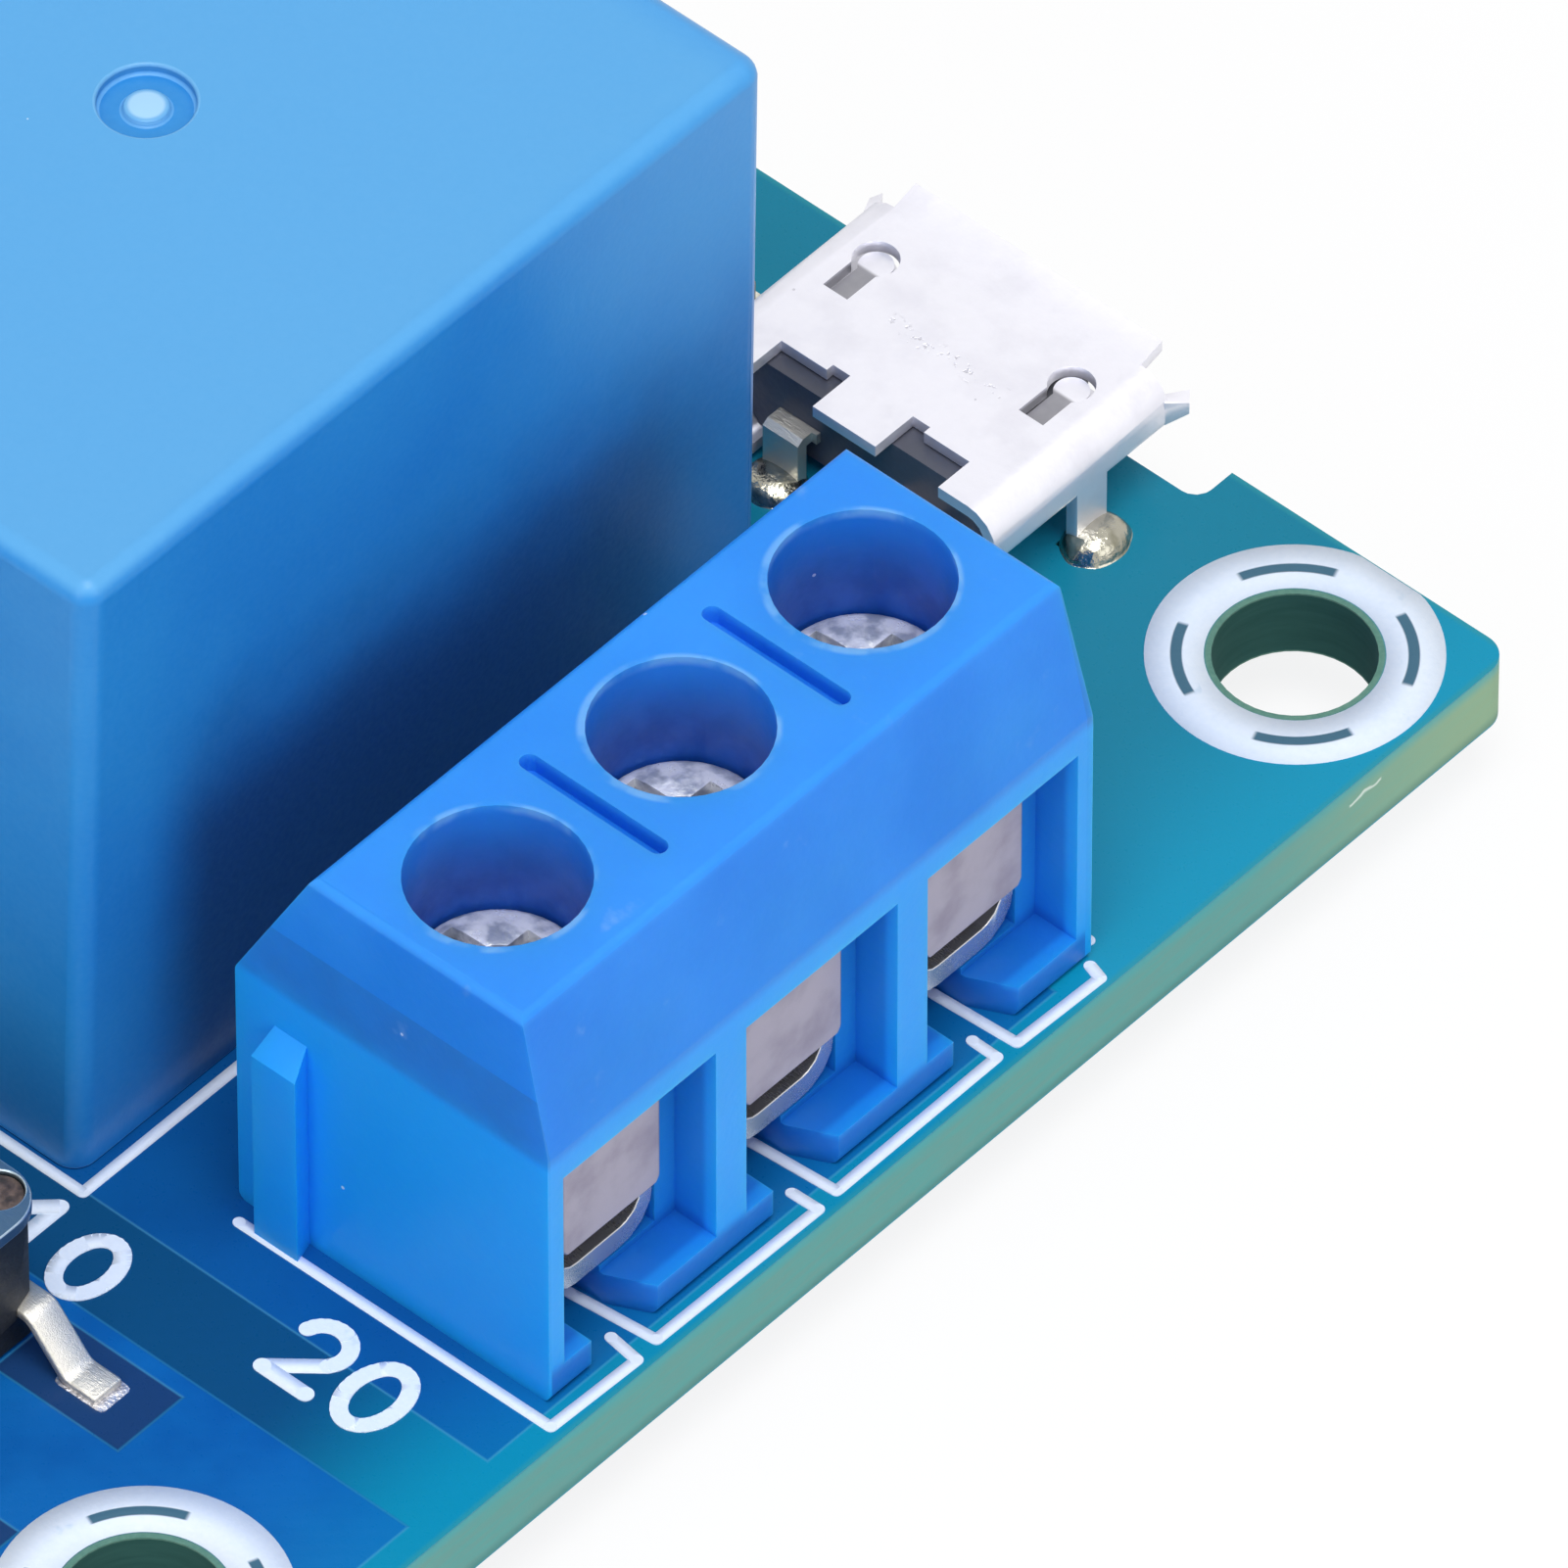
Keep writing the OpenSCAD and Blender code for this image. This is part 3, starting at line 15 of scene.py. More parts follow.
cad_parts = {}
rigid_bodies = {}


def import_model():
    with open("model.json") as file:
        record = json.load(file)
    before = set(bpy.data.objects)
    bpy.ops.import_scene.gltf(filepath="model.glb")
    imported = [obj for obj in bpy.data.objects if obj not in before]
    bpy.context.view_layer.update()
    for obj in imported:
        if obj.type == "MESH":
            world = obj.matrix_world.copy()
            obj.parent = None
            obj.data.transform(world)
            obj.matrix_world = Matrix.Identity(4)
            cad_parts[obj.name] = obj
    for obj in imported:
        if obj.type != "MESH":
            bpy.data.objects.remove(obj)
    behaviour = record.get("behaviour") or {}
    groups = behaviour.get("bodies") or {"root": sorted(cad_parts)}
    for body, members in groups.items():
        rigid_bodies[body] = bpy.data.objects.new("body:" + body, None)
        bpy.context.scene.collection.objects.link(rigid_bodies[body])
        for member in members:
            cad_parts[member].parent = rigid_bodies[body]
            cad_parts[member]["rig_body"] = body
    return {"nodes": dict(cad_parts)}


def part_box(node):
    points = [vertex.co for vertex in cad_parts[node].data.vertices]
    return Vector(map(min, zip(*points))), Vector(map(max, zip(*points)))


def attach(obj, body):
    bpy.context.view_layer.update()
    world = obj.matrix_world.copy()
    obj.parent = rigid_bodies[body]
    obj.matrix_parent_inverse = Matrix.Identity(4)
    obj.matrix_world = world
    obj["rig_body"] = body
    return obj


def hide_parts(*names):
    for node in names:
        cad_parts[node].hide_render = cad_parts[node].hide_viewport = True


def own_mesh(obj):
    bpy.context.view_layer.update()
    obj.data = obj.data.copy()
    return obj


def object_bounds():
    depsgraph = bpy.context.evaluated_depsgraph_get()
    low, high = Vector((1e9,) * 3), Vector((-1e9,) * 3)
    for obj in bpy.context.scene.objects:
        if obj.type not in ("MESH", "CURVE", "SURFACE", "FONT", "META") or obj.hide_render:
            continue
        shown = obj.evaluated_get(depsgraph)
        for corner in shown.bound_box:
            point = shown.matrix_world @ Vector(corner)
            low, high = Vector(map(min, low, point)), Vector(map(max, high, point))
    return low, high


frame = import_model()
cad_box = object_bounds()
MM = 0.001
print("CAD box in mm:", [[round(v / MM, 2) for v in corner] for corner in cad_box])

# %% [markdown]
# ## The camera
# The photograph was taken from far away with a long lens, so lines that are parallel stay almost parallel.
# The camera stands 601 mm from a point on the board and looks along the direction that fits the holes,
# the relay and the terminal. Its three axes are worked out first and become the columns of its matrix.

# %% Camera
TURN, TILT = math.radians(41.805), math.radians(46.844)
AIM, DISTANCE, SHIFT_ACROSS, SHIFT_DOWN = Vector((20.2, 1.2, 5.6)), 601, 6.232, 0.936
SENSOR, LENS = 36, 733.05
look = Vector((-math.sin(TURN) * math.cos(TILT), math.cos(TURN) * math.cos(TILT), -math.sin(TILT)))
across = Vector((math.cos(TURN), math.sin(TURN), 0))
upward = across.cross(look)
camera = bpy.data.objects.new("photo_camera", bpy.data.cameras.new("photo_camera"))
camera.data.sensor_width, camera.data.lens = SENSOR, LENS
camera.data.clip_start, camera.data.clip_end = 0.05, 20
spot = AIM - look * DISTANCE + across * SHIFT_ACROSS - upward * SHIFT_DOWN
camera.matrix_world = Matrix.Translation(spot * MM) @ Matrix((across, upward, -look)).transposed().to_4x4()
bpy.context.scene.collection.objects.link(camera)
bpy.context.scene.camera = camera
bpy.context.scene.view_settings.view_transform = "Standard"
print("camera at", [round(v) for v in spot], "mm")

# %% [markdown]
# ## Writing node trees as expressions
# A finish is a graph of nodes, and a graph is easier to read as a formula. One small class wraps a socket, so that
# `1 - mask` or `cloud * 0.2` adds the Math node by itself. Numbers and masks go through it; colours don't, because
# a Math node would turn a colour grey.


# %% Sockets
class Sock:
    def __init__(self, tree, socket):
        self.tree, self.socket = tree, socket

    def out(self, key):
        return Sock(self.tree, self.socket.node.outputs[key])

    def sum(self, kind, *values):
        return self.tree.node("ShaderNodeMath", {"operation": kind}, dict(enumerate(values)))

    def __add__(self, other):
        return self.sum("ADD", self, other)

    def __sub__(self, other):
        return self.sum("SUBTRACT", self, other)

    def __rsub__(self, other):
        return self.sum("SUBTRACT", other, self)

    def __mul__(self, other):
        return self.sum("MULTIPLY", self, other)

    def __truediv__(self, other):
        return self.sum("DIVIDE", self, other)

    def __gt__(self, other):
        return self.sum("GREATER_THAN", self, other)

    def __lt__(self, other):
        return self.sum("LESS_THAN", self, other)

    def __abs__(self):
        return self.sum("ABSOLUTE", self)

    def larger(self, other):
        return self.sum("MAXIMUM", self, other)

    def smaller(self, other):
        return self.sum("MINIMUM", self, other)

    def ramp(self, low, high):
        settings = {"interpolation_type": "SMOOTHSTEP"}
        return self.tree.node("ShaderNodeMapRange", settings, {"Value": self, "From Min": low, "From Max": high})

    __radd__, __rmul__ = __add__, __mul__


print("a socket knows", len([name for name in vars(Sock) if name.startswith("__r")]), "reflected operators")

# %% [markdown]
# ## One way to make every other node
# A second class owns the tree and makes each node that isn't plain arithmetic: its type, its settings, then the
# values or links of its sockets. The same class serves the Geometry Nodes trees further down. Colours are written
# as they look on screen, and a shader needs linear values, so each one goes through a short conversion.


# %% Trees and colours
class Tree:
    def __init__(self, nodes):
        self.nodes = nodes

    def node(self, kind, settings=None, sockets=None, out=0):
        made = self.nodes.nodes.new(kind)
        for key, value in (settings or {}).items():
            setattr(made, key, value)
        for key, value in (sockets or {}).items():
            if isinstance(value, Sock):
                self.nodes.links.new(value.socket, made.inputs[key])
            else:
                made.inputs[key].default_value = value
        return Sock(self, made.outputs[out])


def paint(code):
    """A colour as it is written on screen, turned into the linear values that a shader needs."""
    if not isinstance(code, str):
        return code
    parts = [int(code[i : i + 2], 16) / 255 for i in (1, 3, 5)]
    return tuple(p / 12.92 if p <= 0.04045 else ((p + 0.055) / 1.055) ** 2.4 for p in parts) + (1,)


print("paint('#808080') is", round(paint("#808080")[0], 3))

# %% [markdown]
# ## The words that the finishes are built from
# Every pattern reads the place of a point in millimetres, from Object coordinates, so its scale is the real one
# and it stays put when a piece moves. Clouds give slow changes of colour, specks give dust and pinholes,
# and a height in millimetres goes through a Bump node for everything too fine to model.


# %% Pattern words
class Finish(Tree):
    def __init__(self, name, steady):
        self.material = bpy.data.materials.new(name)
        self.material.use_nodes = True
        super().__init__(self.material.node_tree)
        self.nodes.nodes.clear()
        self.shader = self.nodes.nodes.new("ShaderNodeBsdfPrincipled")
        self.output = self.nodes.nodes.new("ShaderNodeOutputMaterial")
        self.nodes.links.new(self.shader.outputs[0], self.output.inputs["Surface"])
        for key, value in steady.items():
            self.shader.inputs[key].default_value = value
        corner = self.node("ShaderNodeTexCoord", out="Object")
        self.place = self.node("ShaderNodeVectorMath", {"operation": "SCALE"}, {0: corner, "Scale": 1 / MM})
        split = self.node("ShaderNodeSeparateXYZ", sockets={0: self.place})
        self.x, self.y, self.z = split, split.out(1), split.out(2)

    def mix(self, share, first, second):
        values = {0: share, 6: paint(first), 7: paint(second)}
        return self.node("ShaderNodeMix", {"data_type": "RGBA"}, values, out=2)

    def cloud(self, per_mm, detail=2.0, stretch=None):
        place = self.place
        if stretch:
            place = self.node("ShaderNodeVectorMath", {"operation": "MULTIPLY"}, {0: place, 1: stretch})
        return self.node("ShaderNodeTexNoise", sockets={"Vector": place, "Scale": per_mm, "Detail": detail})

    def specks(self, per_mm, radius, share):
        """1 in small round spots: one cell of a Voronoi pattern in a few has one."""
        cell = self.node("ShaderNodeTexVoronoi", sockets={"Vector": self.place, "Scale": per_mm})
        chosen = self.node("ShaderNodeSeparateColor", sockets={0: cell.out("Color")}) > 1 - share
        return (cell.out("Distance") < radius * per_mm) * chosen

    def bump(self, height, strength=1.0):
        return self.node("ShaderNodeBump", sockets={"Strength": strength, "Distance": MM, "Height": height})

    def done(self, **changing):
        for key, value in changing.items():
            target = self.shader.inputs[key.replace("_", " ").title()]
            self.nodes.links.new(value.socket, target)
        return self.material


def apart(dx, dy):
    """How far a point is from an axis, from its two offsets."""
    squares = dx * dx + dy * dy
    return squares.sum("SQRT", squares)


def within(x, y, low_x, low_y, high_x, high_y, soft=0.05):
    """1 inside a rectangle, 0 outside it."""
    past_x = abs(x - (low_x + high_x) / 2) - (high_x - low_x) / 2
    past_y = abs(y - (low_y + high_y) / 2) - (high_y - low_y) / 2
    return past_x.larger(past_y).ramp(soft, -soft)


print("pattern words ready")

# %% [markdown]
# ## Moulded plastics
# Most plastics on the board are glass-filled and coloured right through, with a satin skin that shows faint flow
# clouds and picks up pale dust. One function makes them all. The paler tone follows the clouds, the roughness has
# clouds of its own, as it does where resin pooled, and a layer of fine grain breaks the reflections.


# %% Plain plastics
def moulded(name, body, pale, rough=0.36, grain=0.0035, dust=0.12):
    """Body colour, its paler tone, mean roughness, depth of the grain in mm, and share of cells with dust."""
    f = Finish(name, {"IOR": 1.5})
    slow, fine = f.cloud(0.16, 3), f.cloud(7.0, 2)
    colour = f.mix(slow.ramp(0.35, 0.68) * 0.75 + fine * 0.15, body, pale)
    colour = f.mix(f.specks(1.1, 0.035, dust) * 0.65, colour, "#d9e8f8")
    height = fine * grain + f.cloud(1.4, 1) * grain * 2
    return f.done(Base_Color=colour, Roughness=f.cloud(0.9, 3) * 0.16 + (rough - 0.08), Normal=f.bump(height))


socket_black = moulded("socket_black", "#40424d", "#5f6270", grain=0.006)
bobbin_plastic = moulded("bobbin_plastic", "#e6e2d2", "#f1eee2", rough=0.45)
base_plastic = moulded("base_plastic", "#1c63a8", "#2a71b5", rough=0.5)
button_plastic = moulded("button_plastic", "#1b1c1f", "#2c2d31", rough=0.38)
chip_epoxy = moulded("chip_epoxy", "#1b1c1e", "#2b2c2e", rough=0.62, grain=0.010, dust=0.04)
print("plain plastics:", [f.name for f in (socket_black, bobbin_plastic, base_plastic, button_plastic, chip_epoxy)])

# %% [markdown]
# ## The relay's cover
# The cover is one moulding, but its faces don't look alike. The lid is painted paler, as painted light from the sky,
# and the face beside the terminal gets a painted shade and reflection of the dark gap between them, and a painted
# reflection of the sky above it.
# The studio has no such surroundings, so both are drawn as fades in height and length, and a slow cloud, the drift,
# keeps their borders from being straight. The vent dimple gets two rings of painted shade and a pale middle of painted
# highlight, by the distance from its centre.

# %% Relay plastic
VENT = (12.41, 1.4)
LID_Z, LID_EDGE_X, LID_EDGE_Y = (16.9, 17.12), 20.33, 10.0
FACE_X, GAP_Z, GAP_START_Y, GAP_END_Y = (19.3, 19.6), (12.6, 7.6), (-7.4, -5.4), (5.5, 9.6)
SHINE_Y, SHINE_Z = (1.5, 8.5), (9.5, 14.5)


def relay_side(f, fine):
    """Two close blues, then the painted shade and reflection of the gap and the painted reflection of the sky. Each
    pair of numbers above is where a fade starts and ends.
    """
    side = f.mix(f.cloud(0.16, 3).ramp(0.35, 0.68) * 0.75 + fine * 0.15, "#177dcc", "#2389d2")
    face, drift = f.x.ramp(*FACE_X), (f.cloud(0.35, 2) - 0.5) * 2.4
    # Painted shade and reflection of the dark gap beside the terminal, then a painted reflection of the sky higher up.
    gap = (f.z + drift).ramp(*GAP_Z) * (f.y + drift * 0.3).ramp(*GAP_START_Y) * (1 - f.y.ramp(*GAP_END_Y) * 0.55)
    side = f.mix(face * gap * 0.84, side, "#163c6e")
    shine = (f.y + drift * 0.5).ramp(*SHINE_Y) * (f.z + drift * 0.4).ramp(*SHINE_Z)
    return f.mix(face * shine * 0.55, side, "#4fa6e4")


def relay_lid(f):
    """A paler blue, painted light from the sky, a little deeper along its two far edges, with the dimple's painted
    shade rings and painted highlight.
    """
    far_x, far_y = LID_EDGE_X - f.x, LID_EDGE_Y - f.y
    band = (far_x + (f.cloud(0.5, 2) - 0.5) * 0.9).ramp(0.8, 0.05) * f.y.ramp(-9.0, -5.0)
    lid = f.mix(band * 0.15, "#57a4de", "#2f8fdc")
    lid = f.mix(far_y.ramp(1.2, 0.2) * 0.4, lid, "#3a92dc")
    reach = apart(f.x - VENT[0], f.y - VENT[1])
    # Dimple: two rings of painted shade, then a pale middle as a painted highlight.
    lid = f.mix(abs(reach - 0.90).ramp(0.13, 0.02) * 0.75, lid, "#2d79b8")
    lid = f.mix(abs(reach - 0.46).ramp(0.10, 0.02) * 0.5, lid, "#2f7fc0")
    return f.mix(reach.ramp(0.42, 0.3) * 0.8, lid, "#bfe6ff")


def relay_finish(name, pale):
    """The whole cover; pale is how far its colour goes towards a pale blue, a painted highlight given to its rounded
    edges.
    """
    f = Finish(name, {"IOR": 1.45, "Specular IOR Level": 0.35})
    fine = f.cloud(7.0, 2)
    colour = f.mix(f.z.ramp(*LID_Z) * 0.96, relay_side(f, fine), relay_lid(f))
    colour = f.mix(f.specks(0.9, 0.036, 0.18) * 0.65, colour, "#cfe4f6")
    # A faint pale cloud everywhere; with pale, a painted highlight along the rounded edges.
    colour = f.mix(fine * 0.1 + pale, colour, "#7fc0f0")
    height = fine * 0.004 + f.cloud(1.4, 1) * 0.007
    return f.done(Base_Color=colour, Roughness=f.cloud(0.9, 3) * 0.16 + 0.26, Normal=f.bump(height))


relay_blue, relay_rim = relay_finish("relay_blue", 0.0), relay_finish("relay_rim", 0.42)
print("relay plastic has", len(relay_blue.node_tree.nodes), "nodes")

# %% [markdown]
# ## The terminals' nylon
# Nylon lets light in, so its thin posts glow; a little subsurface gives that. The end faces are painted bright below
# a duller band under the slope, as painted light. The posts between the wire entries are painted in shade, with painted
# light on their fronts, and the deep wells are painted almost violet as painted shade. The wells repeat at the pitch of
# the poles, so one Wrap node folds them all onto the nearest one. The top is painted lighter as painted light, the
# upper faces have paler blotches and dust specks, the rounded edges get a painted highlight mixed with scuffs, and the
# lip of each well gets a painted highlight in patches.

# %% Terminal plastic
POLE_X, ROW_Y, PITCH = 26.98, 0.05, 5.08
END_FACE, POST_X, POST_Z = 7.5, 27.6, (8.3, 7.9)
FRONT_X, FRONT_Z = (30.1, 30.3), (2.2, 2.6)
WELL_R, WELL_Z, LIP_R, LIP_Z, TOP_Z = 1.86, (11.5, 9.2), 1.82, (11.2, 11.4), (11.2, 11.45)


def terminal_walls(f, fine, blotch):
    """The blue of the block's sides and ends, and of the posts between the wire entries, with painted light and shade.
    """
    colour = f.mix(f.cloud(0.2, 3).ramp(0.35, 0.68) * 0.7 + fine * 0.25, "#1279dc", "#2a8cec")
    end = abs(f.y - ROW_Y) > END_FACE
    # Painted light: the lower end faces are painted brighter; above them a duller band with blotches.
    colour = f.mix(end * f.z.ramp(8.6, 7.8) * 0.85, colour, "#149af8")
    colour = f.mix(end * f.z.ramp(7.9, 8.2) * (0.4 + blotch.ramp(0.3, 0.7) * 0.2), colour, "#1f69b8")
    # Painted shade on the posts between the wire entries, darker near the board, with painted light on their fronts.
    posts = (abs(f.x) > POST_X) * (1 - end) * f.z.ramp(*POST_Z)
    front = abs(f.x).ramp(*FRONT_X) * f.z.ramp(*FRONT_Z)
    shaded = f.mix(f.z.ramp(2.8, 2.4), "#1b84dc", "#1268c4")
    return f.mix(posts * 0.75, colour, f.mix(front, shaded, "#22a2ff"))


# pale gives the rounded edges a painted highlight mixed with scuffs.
def terminal_finish(name, pale):
    glow = {"Subsurface Weight": 0.35, "Subsurface Radius": (0.25, 0.9, 1.8), "Subsurface Scale": MM}
    f = Finish(name, {"IOR": 1.45, "Specular IOR Level": 0.35, **glow})
    fine, blotch = f.cloud(6.0, 3), f.cloud(1.1, 4)
    colour = terminal_walls(f, fine, blotch)
    along = f.y - ROW_Y
    reach = apart(abs(f.x) - POLE_X, along.sum("WRAP", along, PITCH / 2, -PITCH / 2))
    # Painted shade: the deep wells are painted dark violet.
    well = (reach < WELL_R) * f.z.ramp(*WELL_Z)
    colour = f.mix(well * 0.75, colour, f.mix(blotch.ramp(0.35, 0.65), "#15379a", "#2b52b4"))
    # Painted light on the flat top.
    colour = f.mix(f.z.ramp(*TOP_Z) * 0.35, colour, "#45a2fb")
    colour = f.mix(blotch.ramp(0.66, 0.8) * f.z.ramp(8.0, 9.0) * 0.28, colour, "#8fb9ef")
    colour = f.mix(f.specks(1.3, 0.04, 0.16) * 0.6, colour, "#d9e8f8")
    # The lip of each well gets a painted highlight in patches, and with pale the edges get their painted highlight and
    # scuffs.
    worn, patches = f.cloud(2.4, 3).ramp(0.35, 0.7), f.cloud(1.0, 3).ramp(0.42, 0.62)
    lip = abs(reach - LIP_R).ramp(0.14, 0.03) * f.z.ramp(*LIP_Z) * patches * 0.55
    colour = f.mix((pale * (0.35 + worn * 0.65)).larger(lip), colour, "#86bdf8")
    height = fine * 0.007 + blotch * 0.012
    return f.done(Base_Color=colour, Roughness=f.cloud(0.9, 3) * 0.16 + 0.34, Normal=f.bump(height))


terminal_blue, terminal_rim = terminal_finish("terminal_blue", 0.0), terminal_finish("terminal_rim", 0.75)
print("terminal plastic has", len(terminal_blue.node_tree.nodes), "nodes")

# %% [markdown]
# ## The keys' black nylon
# A key's metal cover is held by four nylon studs that were melted over it. The hot tool left their heads browned
# and rough. The heads are the only plastic above the cover, so height alone tells them from the housing.

# %% Key plastic
STUD_Z = (4.80, 4.86)


def key_plastic():
    f = Finish("key_black", {"IOR": 1.5})
    fine, scorch = f.cloud(7.0, 2), f.cloud(4.0, 4)
    colour = f.mix(fine, "#15171a", "#24272b")
    colour = f.mix(f.z.ramp(*STUD_Z), colour, f.mix(scorch.ramp(0.3, 0.7), "#2c2422", "#6a5850"))
    return f.done(Base_Color=colour, Roughness=scorch * 0.3 + 0.35, Normal=f.bump(fine * 0.006 + scorch * 0.03))


key_black = key_plastic()
print("scorched from", STUD_Z[0], "mm up")

# %% [markdown]
# ## Rolled and plated metal
# Each metal here is recognised by its tint and by how it scatters light. Rolled and plated sheet has fine lines
# from the rolls and grey clouds in its plating. Bright plating under a hazy film is set a little below full metal,
# because its haze scatters white light that a pure mirror would not.


# %% Sheet metals
def rolled(name, tint, dull, rough=0.28, lines=0.0015, stains=0.25, metal=1.0):
    """Tint and its duller tone, mean roughness, depth of the rolling lines in mm, share of grey clouds."""
    f = Finish(name, {"Metallic": metal})
    plating, streak = f.cloud(0.9, 4), f.cloud(6.0, 3, stretch=(1.0, 9.0, 9.0))
    colour = f.mix(plating.ramp(0.38, 0.72) * stains + streak * 0.12, tint, dull)
    height = streak * lines + f.cloud(14.0, 2) * lines * 0.7
    return f.done(Base_Color=colour, Roughness=plating * 0.2 + streak * 0.1 + (rough - 0.15), Normal=f.bump(height))


# The keys' rim metal is paler: a painted highlight for the covers' rounded edges.
key_rim = rolled("key_rim", "#b9cbd4", "#93a9b5", rough=0.3, lines=0.004, metal=0.85)
guard_steel = rolled("guard_steel", "#b3adbb", "#8e8799", rough=0.5, lines=0.004, stains=0.6, metal=0.8)
clamp_steel = rolled("clamp_steel", "#dcdcda", "#8d8a8c", rough=0.26, lines=0.003, metal=0.85)
tinned_metal = rolled("tinned_metal", "#e2ddd2", "#a8a49a", rough=0.36, lines=0.012, metal=0.85)
key_steel = rolled("key_steel", "#7d97a6", "#5f7a8b", rough=0.34, lines=0.004)
spring_steel = rolled("spring_steel", "#b9bdc2", "#8b9096", rough=0.22)
spring_copper = rolled("spring_copper", "#d98d5a", "#a5643a", rough=0.3)
contact_brass = rolled("contact_brass", "#d9b65f", "#a8873a", rough=0.3)
gilt_metal = rolled("gilt_metal", "#e6c66a", "#b4923f", rough=0.24)
soft_iron = rolled("soft_iron", "#a7abb0", "#7a7e84", rough=0.36, lines=0.003)
print("sheet metals ready:", guard_steel.name, "to", soft_iron.name)

# %% [markdown]
# ## Solder
# Solder is almost a mirror with a wavy skin, small pits and dull spots of flux. The wave has to be deep,
# some hundredths of a millimetre, or the reflections stay too clean. Old beads are duller than fresh ones.


# %% Solder metals
def soldered(name, tint, flux):
    f = Finish(name, {"Metallic": 1.0})
    swirl, pits = f.cloud(2.6, 4), f.specks(4.0, 0.05, 0.25)
    colour = f.mix(swirl.ramp(0.42, 0.7) * 0.55 + pits * 0.3, tint, flux)
    height = swirl * 0.06 + f.cloud(9.0, 2) * 0.008 - pits * 0.01
    return f.done(Base_Color=colour, Roughness=swirl * 0.3 + 0.06, Normal=f.bump(height))


solder_metal = soldered("solder_metal", "#e8e6dc", "#9a9884")
bead_metal = soldered("bead_metal", "#b0ad9f", "#6f6d56")
print("solders:", solder_metal.name, bead_metal.name)

# %% [markdown]
# ## The power socket's shell
# The shell is nickelled sheet: hazy white on top and scuffed by handling. The two sprung leaves that lean
# into it are painted grey as painted shade. The leaves are a little lower than the sheet round them, so a rectangle and
# a height pick them out.

# %% Shell steel
SOCKET_X = 19.45
LEAF_X, LEAF_HALF, LEAF_Y, LEAF_Z = 2.5, 0.3, (15.2, 16.62), 4.13
SCUFF = (18.2, 15.65, 21.2, 15.95)


def shell_finish():
    f = Finish("shell_steel", {"Metallic": 0.72})
    plating, haze = f.cloud(0.9, 4), f.cloud(3.2, 3)
    colour = f.mix(plating.ramp(0.4, 0.72) * 0.22 + haze * 0.14, "#f2f1f8", "#c2c0cb")
    from_middle = abs(f.x - SOCKET_X)
    # Painted shade: the sprung leaves that lean into the shell are grey.
    leaf = within(from_middle, f.y, LEAF_X - LEAF_HALF, LEAF_Y[0], LEAF_X + LEAF_HALF, LEAF_Y[1]) * (f.z < LEAF_Z)
    colour = f.mix(leaf * 0.8, colour, f.mix(haze, "#5f5f66", "#8d8c92"))
    rubbed = within(f.x, f.y + (f.cloud(0.7, 2) - 0.5) * 0.9, *SCUFF, soft=0.1)
    scuff = (rubbed * f.cloud(8.0, 3).ramp(0.56, 0.66)).larger(f.specks(2.2, 0.03, 0.14))
    colour = f.mix(scuff * 0.4, colour, "#9b98a4")
    height = plating * 0.02 + haze * 0.008 - scuff * 0.012
    return f.done(Base_Color=colour, Roughness=plating * 0.2 + haze * 0.1 + 0.25, Normal=f.bump(height))


shell_steel = shell_finish()
print("leaves lie", LEAF_X, "mm from the socket's middle")

# %% [markdown]
# ## Zinc on the clamp screws
# The heads are zinc plated, with waves left by tumbling. Their colour swirls between white and grey as a painted
# reflection of a bright dome, and the cross recess is painted nearly black as painted shade, where little light gets
# in. The recess is told from the dome by height.

# %% Screw zinc
RECESS_TOP, RECESS_FLOOR = (8.72, 8.52), (8.0, 8.2)


def screw_finish():
    f = Finish("screw_zinc", {"Metallic": 0.35})
    swirl, fine = f.cloud(1.7, 4), f.cloud(8.0, 3)
    # Painted reflection: white and grey patches stand in for the bright and dark of a polished dome.
    colour = f.mix(swirl.ramp(0.42, 0.62) * 0.7 + fine * 0.2, "#ffffff", "#8a94a6")
    # Painted shade: the cross recess is nearly black.
    recess = f.z.ramp(*RECESS_TOP) * f.z.ramp(*RECESS_FLOOR)
    colour = f.mix(recess * 0.85, colour, "#2b3446")
    return f.done(Base_Color=colour, Roughness=swirl * 0.2 + 0.2, Normal=f.bump(swirl * 0.09 + fine * 0.008))


screw_zinc = screw_finish()
print("recess is dark between", RECESS_FLOOR[0], "and", RECESS_TOP[0], "mm")

# %% [markdown]
# ## Where the copper is
# Blue solder mask lies like a thin glaze over two different grounds, copper and bare glass-epoxy. The copper areas
# are rectangles with a soft edge, and taking the larger mask at each point joins them. The copper stops short of the
# fixing holes and between the pads of a key. The four keys are alike, so a formula folds the place of a point
# onto the nearest key, and the gap is written once.

# %% Copper areas
HOLES = ((28.2, 16.2), (28.2, -16.2), (-28.2, 16.2), (-28.2, -16.2))
KEY_X, KEY_Y, KEY_STEP, KEY_COUNT, PAD_Y = 19.25, -15.1, 11.4, 4, 2.25
PAD_GAP = (2.9, -0.9, 6.05, 0.9)
HOLE_CLEAR = (2.84, 2.88)
POURS = ((-30.6, -18.58, 30.6, -11.55), (12.5, -9.35, 30.6, 6.6), (-30.6, -9.4, -22.2, 18.58),
         (4.0, -9.4, 11.6, 18.58), (-21.3, -9.4, 3.1, 6.2), (-21.3, 14.2, 3.1, 18.58), (12.5, 7.4, 17.0, 12.3))


def from_hole(f):
    """Distance from the axis of the nearest fixing hole."""
    return apart(abs(f.x) - HOLES[0][0], abs(f.y) - HOLES[0][1])


